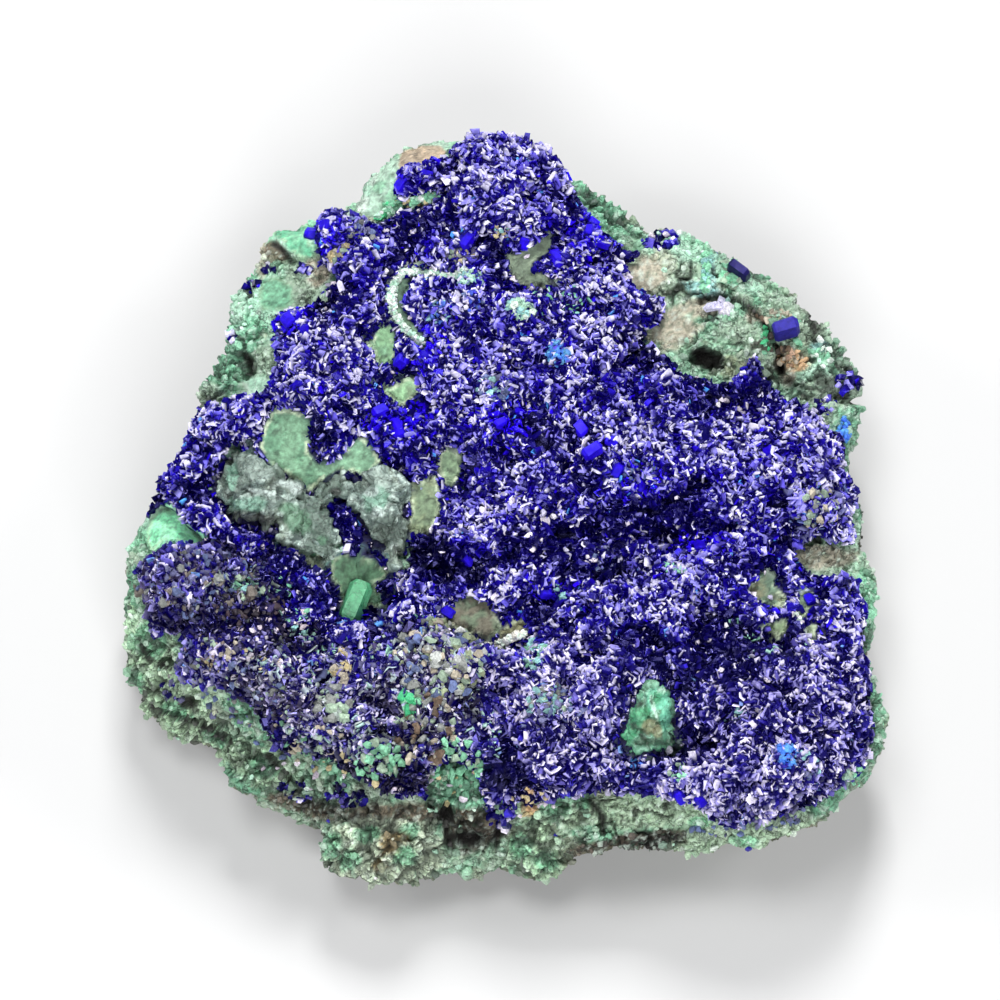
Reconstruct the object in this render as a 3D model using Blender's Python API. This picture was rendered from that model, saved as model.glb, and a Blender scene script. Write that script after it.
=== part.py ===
"""Azurite specimen: a crust of azurite crystals on a plate of malachite-skinned rock.

Units: lengths below are in millimetres and the meshes are made in metres, with +Z up. The
specimen lies on the flat of its matrix with its face up, +X to its right and +Y to its far
edge, and its origin is under the middle of it, on the surface that it lies on.

The face is laid out on a view grid of 1000 by 1000 units, u to the right and v down, which
looks down on the specimen from its near side at VIEW_ELEVATION.
"""
import math
import random

import bmesh
import bpy
from mathutils import Matrix, Vector, noise
from mathutils.geometry import delaunay_2d_cdt

# ---------------------------------------------------------------- driving dimensions
MM = 0.001                   # metres in a millimetre
WIDTH = 50.0                 # of the specimen, left to right
VIEW_WIDTH = 770.0           # the same width in units of the view grid
VIEW_ELEVATION = math.radians(68.0)
VIEW_CENTRE = (502.0, 512.0)
UNIT = WIDTH / VIEW_WIDTH

FACE_HEIGHT = 8.8            # the matrix's face over the base, where it is level
CRUST_DEPTH = 1.3            # the azurite crust over the matrix, in the valleys between crystals
CRYSTAL_RISE = 0.9           # a crystal's ridge over those valleys
CRYSTAL_PITCH = 1.85         # from one crystal to the next
GAP = 0.3                    # between any two pieces that touch

RIM_DROP = 0.9               # how much lower the face is at its rim
BASE_INSET = 8.6             # from the widest line in to the flat that the specimen rests on
RIM_STEP = 1.05              # between points along the rim
FINE_STEP = 1.15             # between points on the bare matrix
COARSE_STEP = 2.3            # and under the crust

# ---------------------------------------------------------------- the face, on the view grid
OUTLINE = (
    (401, 144), (432, 137), (457, 134), (483, 135), (507, 140), (547, 149), (568, 180), (594, 182),
    (634, 209), (662, 225), (697, 233), (731, 250), (766, 275), (809, 309), (832, 338), (852, 355),
    (866, 385), (868, 425), (857, 445), (852, 482), (866, 508), (865, 552), (877, 585), (873, 640),
    (866, 660), (881, 692), (888, 716), (879, 746), (870, 770), (842, 794), (811, 815), (770, 833),
    (735, 842), (689, 836), (642, 834), (610, 850), (570, 864), (540, 864), (507, 868), (456, 870),
    (430, 872), (403, 874), (372, 868), (340, 852), (316, 826), (292, 817), (258, 808), (248, 792),
    (228, 768), (207, 748), (174, 743), (141, 710), (124, 685), (118, 655), (123, 625),
    (121, 590), (127, 560), (137, 531), (161, 490), (183, 454), (193, 425), (192, 388), (221, 355),
    (220, 320), (234, 279), (257, 255), (262, 230), (306, 221), (342, 209), (370, 171))

# The wall round the matrix: a bearing in degrees anticlockwise from +X, how far the widest line
# stands out past the rim of the face there, and how high that line is.
WALL = (
    (-180, 0.2, 7.2), (-170, 0.4, 6.6), (-162, 1.0, 5.6), (-155, 2.3, 4.4), (-141, 2.5, 3.4),
    (-126, 2.5, 3.0), (-106, 3.5, 2.9), (-90, 2.9, 3.2), (-72, 2.0, 4.6), (-66, 1.5, 5.2),
    (-59, 0.6, 7.0), (-47, 0.4, 7.2), (-34, 0.7, 6.6), (-20, 1.0, 6.1), (-5, 0.7, 6.6), (10, 0.3, 7.2),
    (30, 0.1, 7.2), (80, 0.1, 7.6), (150, 0.1, 7.4), (180, 0.2, 7.2))
WALL_ROWS = (0.8, 0.55, 0.32, 0.12, 0.045, 0.0)     # heights of the wall's points, of the rim's
WALL_RETREAT = 0.55          # how far the wall goes in for each millimetre under its widest line
UNDERCUT = (-72.0, 9.0, 1.6)    # bearing, half its width in degrees, depth in millimetres

CRUST = (       # the line round the druse; it runs past OUTLINE where the crust reaches the edge
    (458, 118), (452, 150), (444, 163), (420, 166), (397, 176), (394, 192), (408, 200), (436, 198),
    (428, 208), (400, 212), (372, 220), (348, 218), (340, 190), (316, 195), (313, 232), (315, 262),
    (328, 266), (336, 278), (322, 300), (300, 309), (270, 314), (272, 345), (276, 376), (262, 394),
    (232, 398), (206, 402), (172, 404), (140, 450), (118, 505), (148, 512), (162, 502), (178, 508),
    (186, 522), (208, 540), (188, 546), (168, 550), (150, 556), (132, 566), (104, 590), (104, 622),
    (140, 630), (188, 633), (186, 651), (171, 661), (177, 682), (182, 696), (208, 712), (240, 730),
    (274, 738), (290, 762), (318, 788), (352, 802), (392, 797), (428, 792), (436, 760), (456, 752),
    (478, 766), (486, 800), (506, 816), (528, 792), (560, 784), (610, 780), (650, 784), (672, 796),
    (686, 810), (704, 824), (738, 836), (772, 832), (802, 820), (826, 806), (842, 778),
    (862, 744), (866, 700), (856, 650), (862, 600), (852, 574), (850, 540), (848, 500),
    (862, 482), (872, 450), (846, 436), (820, 418),
    (809, 400), (786, 394), (768, 374), (752, 352), (736, 372), (718, 381), (688, 373), (659, 350),
    (638, 332), (664, 318), (666, 296), (634, 289), (626, 264), (645, 248), (627, 251), (611, 235),
    (604, 220), (582, 203), (566, 168), (560, 118))

WINDOWS = {     # where the druse is open and the matrix or another piece shows
    "nodules": (
        (266, 413), (290, 416), (308, 418), (306, 436), (310, 454), (322, 465), (338, 463), (350, 447),
        (360, 437), (371, 442), (380, 456), (398, 458), (410, 472), (415, 488), (413, 508), (418, 521),
        (411, 540), (406, 562), (400, 585), (392, 604), (374, 614), (354, 618), (340, 612), (332, 590),
        (326, 570), (312, 557), (296, 549), (276, 540), (256, 525), (230, 520), (221, 502), (209, 495),
        (209, 477), (220, 461), (234, 446), (252, 438), (264, 430)),
    "crescent": (
        (468, 268), (450, 279), (428, 277), (412, 280), (400, 291), (402, 312), (414, 328), (432, 342),
        (424, 352), (404, 342), (390, 322), (386, 298), (390, 276), (404, 265), (430, 270)),
    "upper_patch": ((361, 345), (384, 326), (395, 334), (395, 367), (372, 368), (374, 352)),
    "middle_patch": ((367, 381), (394, 384), (414, 376), (421, 391), (407, 410), (386, 397)),
    "chip": (
        (549, 232), (554, 247), (540, 264), (548, 277), (563, 284), (548, 291), (516, 288), (505, 263),
        (520, 250), (535, 250)),
    "olive_patch": (
        (440, 446), (462, 450), (463, 486), (442, 500), (438, 535), (410, 534), (408, 502), (432, 484)),
    "pale_chips": (
        (440, 612), (470, 596), (492, 604), (500, 616), (524, 618), (530, 640), (508, 649), (484, 641),
        (454, 634)),
    "right_patch": ((746, 591), (766, 573), (780, 577), (788, 600), (780, 607), (760, 606)),
    "right_corner": (
        (798, 592), (814, 596), (812, 618), (818, 644), (806, 642), (798, 626), (786, 638), (770, 642),
        (760, 628), (786, 620), (790, 606)),
    "lump_seat": (
        (644, 682), (668, 690), (677, 714), (677, 738), (654, 750), (632, 754), (611, 736), (620, 712)),
    "right_pocket": ((788, 546), (812, 534), (846, 540), (900, 552), (860, 574), (812, 572)),
}

ISLAND = (      # azurite that stands alone between the nodules
    (338, 499), (347, 499), (353, 514), (362, 530), (368, 546), (363, 556), (352, 552), (348, 534),
    (339, 524))

NODULES = (     # the grey lumps, grown together
    (239, 451), (254, 453), (270, 466), (286, 476), (303, 488), (312, 491), (323, 480), (333, 472),
    (344, 470), (356, 475), (364, 479), (377, 471), (386, 465), (396, 467), (403, 476), (407, 488),
    (405, 500), (402, 511), (409, 521), (403, 536), (398, 560), (390, 564), (382, 552), (373, 539),
    (366, 523), (358, 507), (351, 492), (338, 492), (331, 496), (328, 509), (332, 524), (341, 531),
    (341, 553), (326, 560), (316, 550), (299, 541), (282, 532), (282, 519), (256, 515), (237, 512),
    (230, 499), (219, 492), (218, 480), (226, 467))

NODULE_EDGE = 0.75           # the nodules' thickness at their border and between them
NODULE_MOUNDS = (            # u, v, reach across, reach down the grid, rise in millimetres
    (262, 484, 36, 30, 1.9), (386, 505, 24, 44, 1.7), (318, 520, 26, 24, 0.3))

LUMP_CENTRE = (646, 716)
LUMP_EDGE, LUMP_DOME, LUMP_REACH = 1.5, 1.5, 2.3    # in millimetres
LUMP = (        # the malachite lump at the lower right
    (646, 689), (663, 696), (669, 714), (669, 733), (650, 741), (634, 745), (619, 733), (628, 713))

# Mounds and hollows of the matrix: u, v, reach across, reach down the grid, rise in millimetres.
RELIEF = (
    (318, 382, 54, 78, 2.3),        # domed boss, upper left
    (492, 190, 92, 70, 1.5),        # ridge towards the far edge
    (440, 330, 90, 90, 0.9),
    (330, 252, 30, 42, 0.7),
    (228, 430, 38, 34, 0.9),        # lobe at the left edge
    (178, 592, 58, 44, 1.9),        # rounded boss, left edge
    (262, 672, 90, 50, 0.8),
    (436, 664, 62, 36, 1.0),
    (388, 760, 90, 30, 0.4),
    (592, 690, 96, 60, 1.0),
    (790, 690, 70, 96, 1.1),
    (716, 790, 96, 34, 0.9),
    (640, 440, 130, 58, 0.7),
    (800, 470, 50, 50, 0.6),
    (774, 322, 66, 42, 1.9),        # ledge, upper right
    (690, 262, 60, 26, 0.9),
    (410, 158, 44, 24, 0.9),        # malachite cap, far edge
    (288, 240, 24, 16, 1.4),        # pale block, upper left
    (244, 318, 22, 40, 0.6),
    (214, 372, 22, 22, 0.8),        # knob, left edge
    (170, 528, 26, 20, 0.5),
    (640, 532, 130, 15, -1.3),      # valley across the middle
    (560, 574, 84, 26, -0.9),
    (764, 412, 46, 14, -1.5),       # step under the ledge
    (250, 524, 34, 8, -0.7),
    (362, 588, 32, 26, -1.3),       # recess that holds the blade
    (710, 361, 11, 11, -2.4),       # hole under the ledge
    (275, 250, 10, 12, -1.2),
    (249, 364, 6, 14, -0.9),
    (812, 545, 20, 7, -1.4),
    (668, 752, 26, 7, -0.6),
    (492, 720, 22, 60, -0.7),
    (356, 640, 60, 16, -0.6))

# Lumps on the wall: u, v, height, three half-sizes, how knobbly.
LUMPS = {
    "cauliflower": (383, 836, 4.7, (3.8, 2.7, 3.0), 0.32),
    "ball": (537, 845, 3.9, (2.3, 2.0, 2.2), 0.14),
    "green_block": (250, 766, 5.4, (1.8, 1.5, 1.7), 0.16),
    "ledge_left": (586, 824, 6.2, (2.3, 1.7, 0.9), 0.2),
    "ledge_middle": (638, 820, 6.3, (2.7, 1.8, 0.9), 0.2),
    "ledge_right": (690, 829, 5.8, (2.0, 1.5, 0.9), 0.2),
}

ISLAND_PITCH, ISLAND_DEPTH = 1.2, 1.0

PRISMS = {      # lone crystals: u, v, (length, breadth, depth), turn and tilt in degrees
    "malachite_blade": (357, 594, (2.7, 1.2, 0.8), 68, 8),
    "ledge_crystal": (785, 335, (1.7, 1.3, 1.0), 15, 6),
    "rim_crystal": (740, 268, (1.5, 0.9, 0.8), -40, 4),
}

MATERIALS = {   # base colour, roughness
    "matrix": ((0.16, 0.36, 0.23), 0.75),
    "azurite_druse": ((0.015, 0.008, 0.35), 0.3),
    "azurite_island": ((0.015, 0.008, 0.35), 0.3),
    "grey_nodules": ((0.16, 0.2, 0.17), 0.5),
    "malachite_lump": ((0.12, 0.42, 0.25), 0.6),
    "malachite_blade": ((0.06, 0.45, 0.2), 0.35),
    "ledge_crystal": ((0.015, 0.01, 0.3), 0.25),
    "rim_crystal": ((0.015, 0.01, 0.3), 0.25),
}


# ---------------------------------------------------------------- places on the specimen
def smooth(low, high, value):
    t = min(1.0, max(0.0, (value - low) / (high - low)))
    return t * t * (3.0 - 2.0 * t)


def at(u, v, height):
    """Where the view grid's (u, v) falls at a height over the base."""
    x = (u - VIEW_CENTRE[0]) * UNIT
    seen = (VIEW_CENTRE[1] - v) * UNIT
    return x, (seen - height * math.cos(VIEW_ELEVATION)) / math.sin(VIEW_ELEVATION)


def on_face(points):
    height = FACE_HEIGHT + CRUST_DEPTH
    return [at(u, v, height) for u, v in points]


def relief(x, y):
    """Height of the matrix's face over the base."""
    z = FACE_HEIGHT
    for u, v, across, down, rise in RELIEF:
        cx, cy = at(u, v, FACE_HEIGHT + CRUST_DEPTH)
        reach = math.hypot((x - cx) / (across * UNIT), (y - cy) / (down * UNIT))
        if reach < 2.4:
            z += rise * math.exp(-reach ** 2.6)
    z += 0.35 * noise.noise(Vector((x * 0.22, y * 0.22, 3.0)))
    edge = max(0.0, 1.0 - rim_distance(x, y) / 2.2)
    return z - RIM_DROP * edge * edge


def polar(points, x, y):
    """Distance from the middle to a closed line of points, in the direction of (x, y)."""
    length = math.hypot(x, y) or 1.0
    dx, dy = x / length, y / length
    best = 0.0
    for (ax, ay), (bx, by) in zip(points, points[1:] + points[:1]):
        ex, ey = bx - ax, by - ay
        bottom = dx * ey - dy * ex
        if abs(bottom) < 1e-9:
            continue
        along = (ax * ey - ay * ex) / bottom
        share = (ax * dy - ay * dx) / bottom
        if along > 0.0 and -1e-6 <= share <= 1.0 + 1e-6:
            best = max(best, along)
    return best


def rim_distance(x, y):
    """How far (x, y) is inside the rim, measured towards the middle."""
    return max(0.0, polar(RIM, x, y) - math.hypot(x, y))


def wall_at(x, y):
    """How far the wall stands out past the rim, and how high its widest line is, beside (x, y)."""
    bearing = math.degrees(math.atan2(y, x))
    for (low, lean_a, high_a), (high, lean_b, high_b) in zip(WALL, WALL[1:]):
        if low <= bearing <= high:
            share = (bearing - low) / (high - low)
            return lean_a + (lean_b - lean_a) * share, high_a + (high_b - high_a) * share
    return WALL[0][1:]


def girth_line():
    """The specimen's widest line, low on its near side and at the face on its far side."""
    line = []
    for u, v in OUTLINE:
        x, y = at(u, v, WALL[0][2])
        line.append(at(u, v, wall_at(x, y)[1]))
    return line


def rim_line(girth):
    """The edge of the face, which leans in from the widest line."""
    line = []
    for x, y in girth:
        inner = 1.0 - wall_at(x, y)[0] / math.hypot(x, y)
        line.append((x * inner, y * inner))
    return line


def ragged(points, step, wander):
    """The closed line through points, with a point every step or so, pushed about by noise."""
    line = []
    for (ax, ay), (bx, by) in zip(points, points[1:] + points[:1]):
        length = math.hypot(bx - ax, by - ay)
        count = max(1, round(length / step))
        for i in range(count):
            x = ax + (bx - ax) * i / count
            y = ay + (by - ay) * i / count
            push_x, push_y = (noise.noise(Vector((x * 0.9, y * 0.9, layer))) for layer in (7.0, 27.0))
            line.append((x + wander * push_x, y + wander * push_y))
    return line


def inside(points, x, y):
    """Whether (x, y) is inside the closed line of points."""
    odd = False
    for (ax, ay), (bx, by) in zip(points, points[1:] + points[:1]):
        if (ay > y) != (by > y) and x < ax + (bx - ax) * (y - ay) / (by - ay):
            odd = not odd
    return odd


def line_distance(points, x, y):
    """Distance from (x, y) to the closed line of points."""
    best = 1e9
    for (ax, ay), (bx, by) in zip(points, points[1:] + points[:1]):
        ex, ey = bx - ax, by - ay
        share = ((x - ax) * ex + (y - ay) * ey) / max(ex * ex + ey * ey, 1e-12)
        share = min(1.0, max(0.0, share))
        best = min(best, math.hypot(x - ax - share * ex, y - ay - share * ey))
    return best


# ---------------------------------------------------------------- triangulated layers
def triangulate(loops, points, ridges=()):
    """Triangles over loops and loose points: their corners, the triangles, and for each corner
    its number among the loops' and loose points, or -1 where two lines cross."""
    corners, edges = [], []
    for loop in loops:
        first = len(corners)
        corners += loop
        count = len(loop)
        edges += [(first + i, first + (i + 1) % count) for i in range(count)]
    first = len(corners)
    corners += points
    edges += [(first + a, first + b) for a, b in ridges]
    vectors = [Vector(corner) for corner in corners]
    found = delaunay_2d_cdt(vectors, edges, [], 0, 1e-5, True)
    places = [(v.x, v.y) for v in found[0]]
    source = [ids[0] if ids else -1 for ids in found[3]]
    return places, [tuple(face) for face in found[2]], source


def scatter(spacing, keep, rng, jitter=0.22):
    """Points on a shaken triangular grid over the whole face, where keep(x, y) holds."""
    points = []
    rows = int(32.0 / (spacing * 0.866))
    for row in range(-rows, rows + 1):
        for column in range(-int(30.0 / spacing), int(30.0 / spacing) + 1):
            x = (column + 0.5 * (row % 2)) * spacing + rng.uniform(-jitter, jitter) * spacing
            y = row * spacing * 0.866 + rng.uniform(-jitter, jitter) * spacing
            if keep(x, y):
                points.append((x, y))
    return points


def middle(places, face):
    xs = [places[i][0] for i in face]
    ys = [places[i][1] for i in face]
    return sum(xs) / 3.0, sum(ys) / 3.0


def largest(faces):
    """The largest set of faces that join edge to edge."""
    by_edge = {}
    for number, face in enumerate(faces):
        for a, b in zip(face, face[1:] + face[:1]):
            by_edge.setdefault(frozenset((a, b)), []).append(number)
    left, best = set(range(len(faces))), []
    while left:
        group, queue = [], [left.pop()]
        while queue:
            number = queue.pop()
            group.append(number)
            face = faces[number]
            for a, b in zip(face, face[1:] + face[:1]):
                for other in by_edge[frozenset((a, b))]:
                    if other in left:
                        left.discard(other)
                        queue.append(other)
        best = max(best, group, key=len)
    return [faces[number] for number in sorted(best)]


def border(faces):
    """The closed border lines of a set of triangles, as corner numbers, in the faces' own turn."""
    edges = {(a, b) for face in faces for a, b in zip(face, face[1:] + face[:1])}
    follow = {a: b for a, b in edges if (b, a) not in edges}
    loops = []
    while follow:
        start, here = follow.popitem()
        loop = [start]
        while here != start:
            loop.append(here)
            here = follow.pop(here)
        loops.append(loop)
    return sorted(loops, key=lambda loop: (-len(loop), min(loop)))


def solid(name, corners, faces):
    """A closed mesh object in metres, in its own material, with its faces pointing out."""
    mesh = bpy.data.meshes.new(name)
    mesh.from_pydata([(x * MM, y * MM, z * MM) for x, y, z in corners], [], faces)
    work = bmesh.new()
    work.from_mesh(mesh)
    bmesh.ops.delete(work, geom=[v for v in work.verts if not v.link_faces], context="VERTS")
    bmesh.ops.recalc_face_normals(work, faces=work.faces)
    work.to_mesh(mesh)
    work.free()
    thing = bpy.data.objects.new(name, mesh)
    bpy.context.scene.collection.objects.link(thing)
    colour, roughness = MATERIALS[name]
    material = bpy.data.materials.new(name)
    material.use_nodes = True
    shader = material.node_tree.nodes["Principled BSDF"]
    shader.inputs["Base Color"].default_value = (*colour, 1.0)
    shader.inputs["Roughness"].default_value = roughness
    mesh.materials.append(material)
    return thing


# ---------------------------------------------------------------- the bed that all pieces share
def face_lines():
    """The lines that part the face: the rim, the crust and its windows, and what stands in them."""
    lines = {"rim": ragged(RIM, RIM_STEP, 0.25)}
    lines["crust"] = ragged(on_face(CRUST), 1.2, 0.45)
    for name, points in WINDOWS.items():
        lines[name] = ragged(on_face(points), 1.1, 0.12)
    for name, points in (("island", ISLAND), ("grey", NODULES), ("lump", LUMP)):
        lines[name] = ragged(on_face(points), 1.0, 0.06)
    return lines


def in_crust(lines, x, y):
    if not inside(lines["crust"], x, y):
        return False
    return not any(inside(lines[name], x, y) for name in WINDOWS)


def make_bed(lines, rng):
    """The matrix's face as triangles that every piece on it follows: fine where it is bare."""
    rim = lines["rim"]

    def clear(x, y, spacing):
        room = 0.5 * spacing
        return inside(rim, x, y) and all(line_distance(line, x, y) > room for line in lines.values())

    bare = scatter(FINE_STEP, lambda x, y: clear(x, y, FINE_STEP) and not in_crust(lines, x, y), rng)
    under = scatter(COARSE_STEP, lambda x, y: clear(x, y, COARSE_STEP) and in_crust(lines, x, y), rng)
    places, faces, source = triangulate(list(lines.values()), bare + under)
    faces = largest([face for face in faces if inside(rim, *middle(places, face))])
    heights = []
    for x, y in places:
        rough = 0.0
        if not in_crust(lines, x, y):
            rough = 0.5 * noise.fractal(Vector((x * 0.5, y * 0.5, 11.0)), 1.0, 2.0, 3)
        heights.append(relief(x, y) + rough)
    return places, faces, heights


# ---------------------------------------------------------------- matrix
def wall_rows(loop, heights):
    """The matrix's wall under each corner of its rim, row by row from the rim down to the base."""
    rows = []
    for share in WALL_ROWS:
        row = []
        for (x, y), top in zip(loop, heights):
            reach = math.hypot(x, y)
            wide_height = wall_at(x, y)[1]
            height = top * share
            girth = polar(GIRTH, x, y)
            if height > wide_height:
                out = (top - height) / max(top - wide_height, 0.1)
                spread = reach + (girth - reach) * smooth(-0.2, 1.0, out)
            else:
                spread = girth - WALL_RETREAT * (wide_height - height)
            away = (math.degrees(math.atan2(y, x)) - UNDERCUT[0]) / UNDERCUT[1]
            if 0.1 < share < 0.6:
                spread -= UNDERCUT[2] * math.exp(-away * away)
            knob = noise.fractal(Vector((x * 0.42, y * 0.42, height * 0.5 + 20.0)), 1.0, 2.0, 3)
            if share > 0.1:
                lump = noise.noise(Vector((x * 0.75, y * 0.75, height * 0.8 + 30.0)))
                spread += 0.6 * knob + 0.5 * lump - 0.2
                height += 0.3 * noise.noise(Vector((x * 0.6, y * 0.6, height + 40.0)))
            elif share > 0.0:
                spread = girth - 0.55 * BASE_INSET + 1.2 * knob
            else:
                spread = girth - BASE_INSET + 1.5 * knob
            row.append((x / reach * spread, y / reach * spread, height))
        rows.append(row)
    return rows


def make_matrix(bed):
    places, faces, heights = bed
    rim = border(faces)[0]
    corners = [(x, y, z) for (x, y), z in zip(places, heights)]
    above = rim
    loop = [places[i] for i in rim]
    count = len(rim)
    faces = list(faces)
    for row in wall_rows(loop, [heights[i] for i in rim]):
        first = len(corners)
        corners += row
        below = list(range(first, first + count))
        for i in range(count):
            j = (i + 1) % count
            faces.append((above[i], below[i], below[j]))
            faces.append((above[i], below[j], above[j]))
        above = below
    faces.append(tuple(reversed(above)))
    return solid("matrix", corners, faces)


def make_lump(name, u, v, height, halves, knobbly):
    """A closed knobbly lump, to be joined to the matrix."""
    work = bmesh.new()
    bmesh.ops.create_icosphere(work, subdivisions=3 if knobbly > 0.3 else 2, radius=1.0)
    x, y = at(u, v, height)
    for corner in work.verts:
        way = corner.co.normalized()
        knob = noise.noise(Vector((way.x * 2.1 + x, way.y * 2.1 + y, way.z * 2.1)))
        swell = 1.0 + knobbly * knob
        corner.co = Vector((
            (x + way.x * halves[0] * swell) * MM,
            (y + way.y * halves[1] * swell) * MM,
            (height + way.z * halves[2] * swell) * MM))
    mesh = bpy.data.meshes.new(name)
    work.to_mesh(mesh)
    work.free()
    thing = bpy.data.objects.new(name, mesh)
    bpy.context.scene.collection.objects.link(thing)
    thing.hide_render = True
    thing.display_type = "WIRE"
    return thing


def join_lumps(matrix):
    for name, values in LUMPS.items():
        joint = matrix.modifiers.new(name, "BOOLEAN")
        joint.operation = "UNION"
        joint.object = make_lump(name, *values)


# ---------------------------------------------------------------- pieces laid on the bed
def lay(name, bed, member, points, ridges, top):
    """A closed piece over the bed's triangles whose middles are members. Its underside follows the
    bed at GAP. Its top is triangulated over points, at the heights that top(x, y, number) gives,
    where number is a point's own, or None on the border."""
    places, faces, heights = bed
    below = largest([face for face in faces if member(*middle(places, face))])
    loops = border(below)
    used = sorted({i for face in below for i in face})
    order = {i: n for n, i in enumerate(used)}
    corners = [(*places[i], heights[i] + GAP) for i in used]
    piece = [tuple(order[i] for i in reversed(face)) for face in below]

    lines = [[places[i] for i in loop] for loop in loops]
    edge_count = sum(len(line) for line in lines)
    upper, cover, source = triangulate(lines, points, ridges)

    def covered(face):
        x, y = middle(upper, face)
        return sum(inside(line, x, y) for line in lines) % 2 == 1

    cover = [face for face in cover if covered(face)]
    first = len(corners)
    for (x, y), number in zip(upper, source):
        loose = number - edge_count if number >= edge_count else None
        corners.append((x, y, top(x, y, loose)))
    piece += [tuple(first + i for i in face) for face in cover]

    place_of = {number: n for n, number in enumerate(source) if 0 <= number < edge_count}
    start = 0
    for loop in loops:
        count = len(loop)
        for i in range(count):
            j = (i + 1) % count
            low_a, low_b = order[loop[i]], order[loop[j]]
            high_a, high_b = first + place_of[start + i], first + place_of[start + j]
            piece.append((low_a, low_b, high_b))
            piece.append((low_a, high_b, high_a))
        start += count
    return solid(name, corners, piece)


def crystal_points(lines, member, pitch, margin, rng):
    """Corners of a druse: two for each crystal's ridge, and valleys between the crystals."""
    points, ridges, rises = [], [], []

    def clear(x, y, room):
        return member(x, y) and all(line_distance(line, x, y) > room for line in lines)

    for x, y in scatter(pitch, lambda x, y: clear(x, y, margin), rng, 0.2):
        turn = rng.uniform(0.0, math.pi)
        half = pitch * rng.uniform(0.16, 0.27)
        dx, dy = half * math.cos(turn), half * math.sin(turn)
        rise = CRYSTAL_RISE * rng.uniform(0.55, 1.3)
        tip = rise + rng.uniform(-0.25, 0.25)
        ends = ((x - dx, y - dy, rise), (x + dx, y + dy, tip))
        if all(clear(ex, ey, 0.25) for ex, ey, _ in ends):
            ridges.append((len(points), len(points) + 1))
            points += [(ex, ey) for ex, ey, _ in ends]
            rises += [end[2] for end in ends]
    spacing = pitch / math.sqrt(3.0)
    for x, y in scatter(spacing, lambda x, y: clear(x, y, 0.4), rng, 0.2):
        if all(math.hypot(x - px, y - py) > 0.36 * pitch for px, py in points):
            points.append((x, y))
            rises.append(-rng.uniform(0.0, 0.25))
    return points, ridges, rises


def make_crust(name, bed, lines, member, pitch, depth, rng):
    """A sheet of azurite crystals grown together, with a flat-faced ridge for each crystal."""
    points, ridges, rises = crystal_points(lines, member, pitch, 0.55, rng)

    def top(x, y, number):
        if number is None:
            return relief(x, y) + GAP + depth * (0.62 + 0.25 * noise.noise(Vector((x, y, 5.0))))
        return relief(x, y) + GAP + depth + rises[number]

    return lay(name, bed, member, points, ridges, top)


def nodule_height(x, y):
    """The nodules' surface over the matrix: two proud lumps and a low saddle between them."""
    height = NODULE_EDGE
    for u, v, across, down, rise in NODULE_MOUNDS:
        cx, cy = at(u, v, FACE_HEIGHT + CRUST_DEPTH)
        reach = math.hypot((x - cx) / (across * UNIT), (y - cy) / (down * UNIT))
        height += rise * max(0.0, 1.0 - reach ** 2.2)
    return height


def make_nodules(bed, lines, rng):
    line = lines["grey"]
    points = scatter(0.95, lambda x, y: inside(line, x, y) and line_distance(line, x, y) > 0.3, rng)

    def top(x, y, number):
        rough = 0.35 * noise.fractal(Vector((x * 0.9, y * 0.9, 31.0)), 1.0, 2.0, 2)
        height = nodule_height(x, y) + rough
        return relief(x, y) + GAP + (0.55 if number is None else max(0.5, height))

    return lay("grey_nodules", bed, lambda x, y: inside(line, x, y), points, (), top)


def make_malachite_lump(bed, lines, rng):
    line = lines["lump"]
    cx, cy = on_face((LUMP_CENTRE,))[0]
    points = scatter(0.8, lambda x, y: inside(line, x, y) and line_distance(line, x, y) > 0.25, rng)

    def top(x, y, number):
        reach = math.hypot(x - cx, y - cy) / LUMP_REACH
        dome = LUMP_EDGE + LUMP_DOME * max(0.0, 1.0 - reach * reach)
        rough = 0.4 * noise.fractal(Vector((x * 1.1, y * 1.1, 51.0)), 1.0, 2.0, 2)
        return relief(x, y) + GAP + (1.25 if number is None else dome + rough)

    return lay("malachite_lump", bed, lambda x, y: inside(line, x, y), points, (), top)


# ---------------------------------------------------------------- single crystals
def bed_height(bed, x, y):
    """Height of the matrix's own triangles at (x, y)."""
    places, faces, heights = bed
    for a, b, c in faces:
        (ax, ay), (bx, by), (cx, cy) = places[a], places[b], places[c]
        area = (bx - ax) * (cy - ay) - (cx - ax) * (by - ay)
        share_b = ((x - ax) * (cy - ay) - (cx - ax) * (y - ay)) / area
        share_c = ((bx - ax) * (y - ay) - (x - ax) * (by - ay)) / area
        if min(share_b, share_c, 1.0 - share_b - share_c) >= -1e-6:
            return heights[a] + share_b * (heights[b] - heights[a]) + share_c * (heights[c] - heights[a])
    return 0.0


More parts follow.
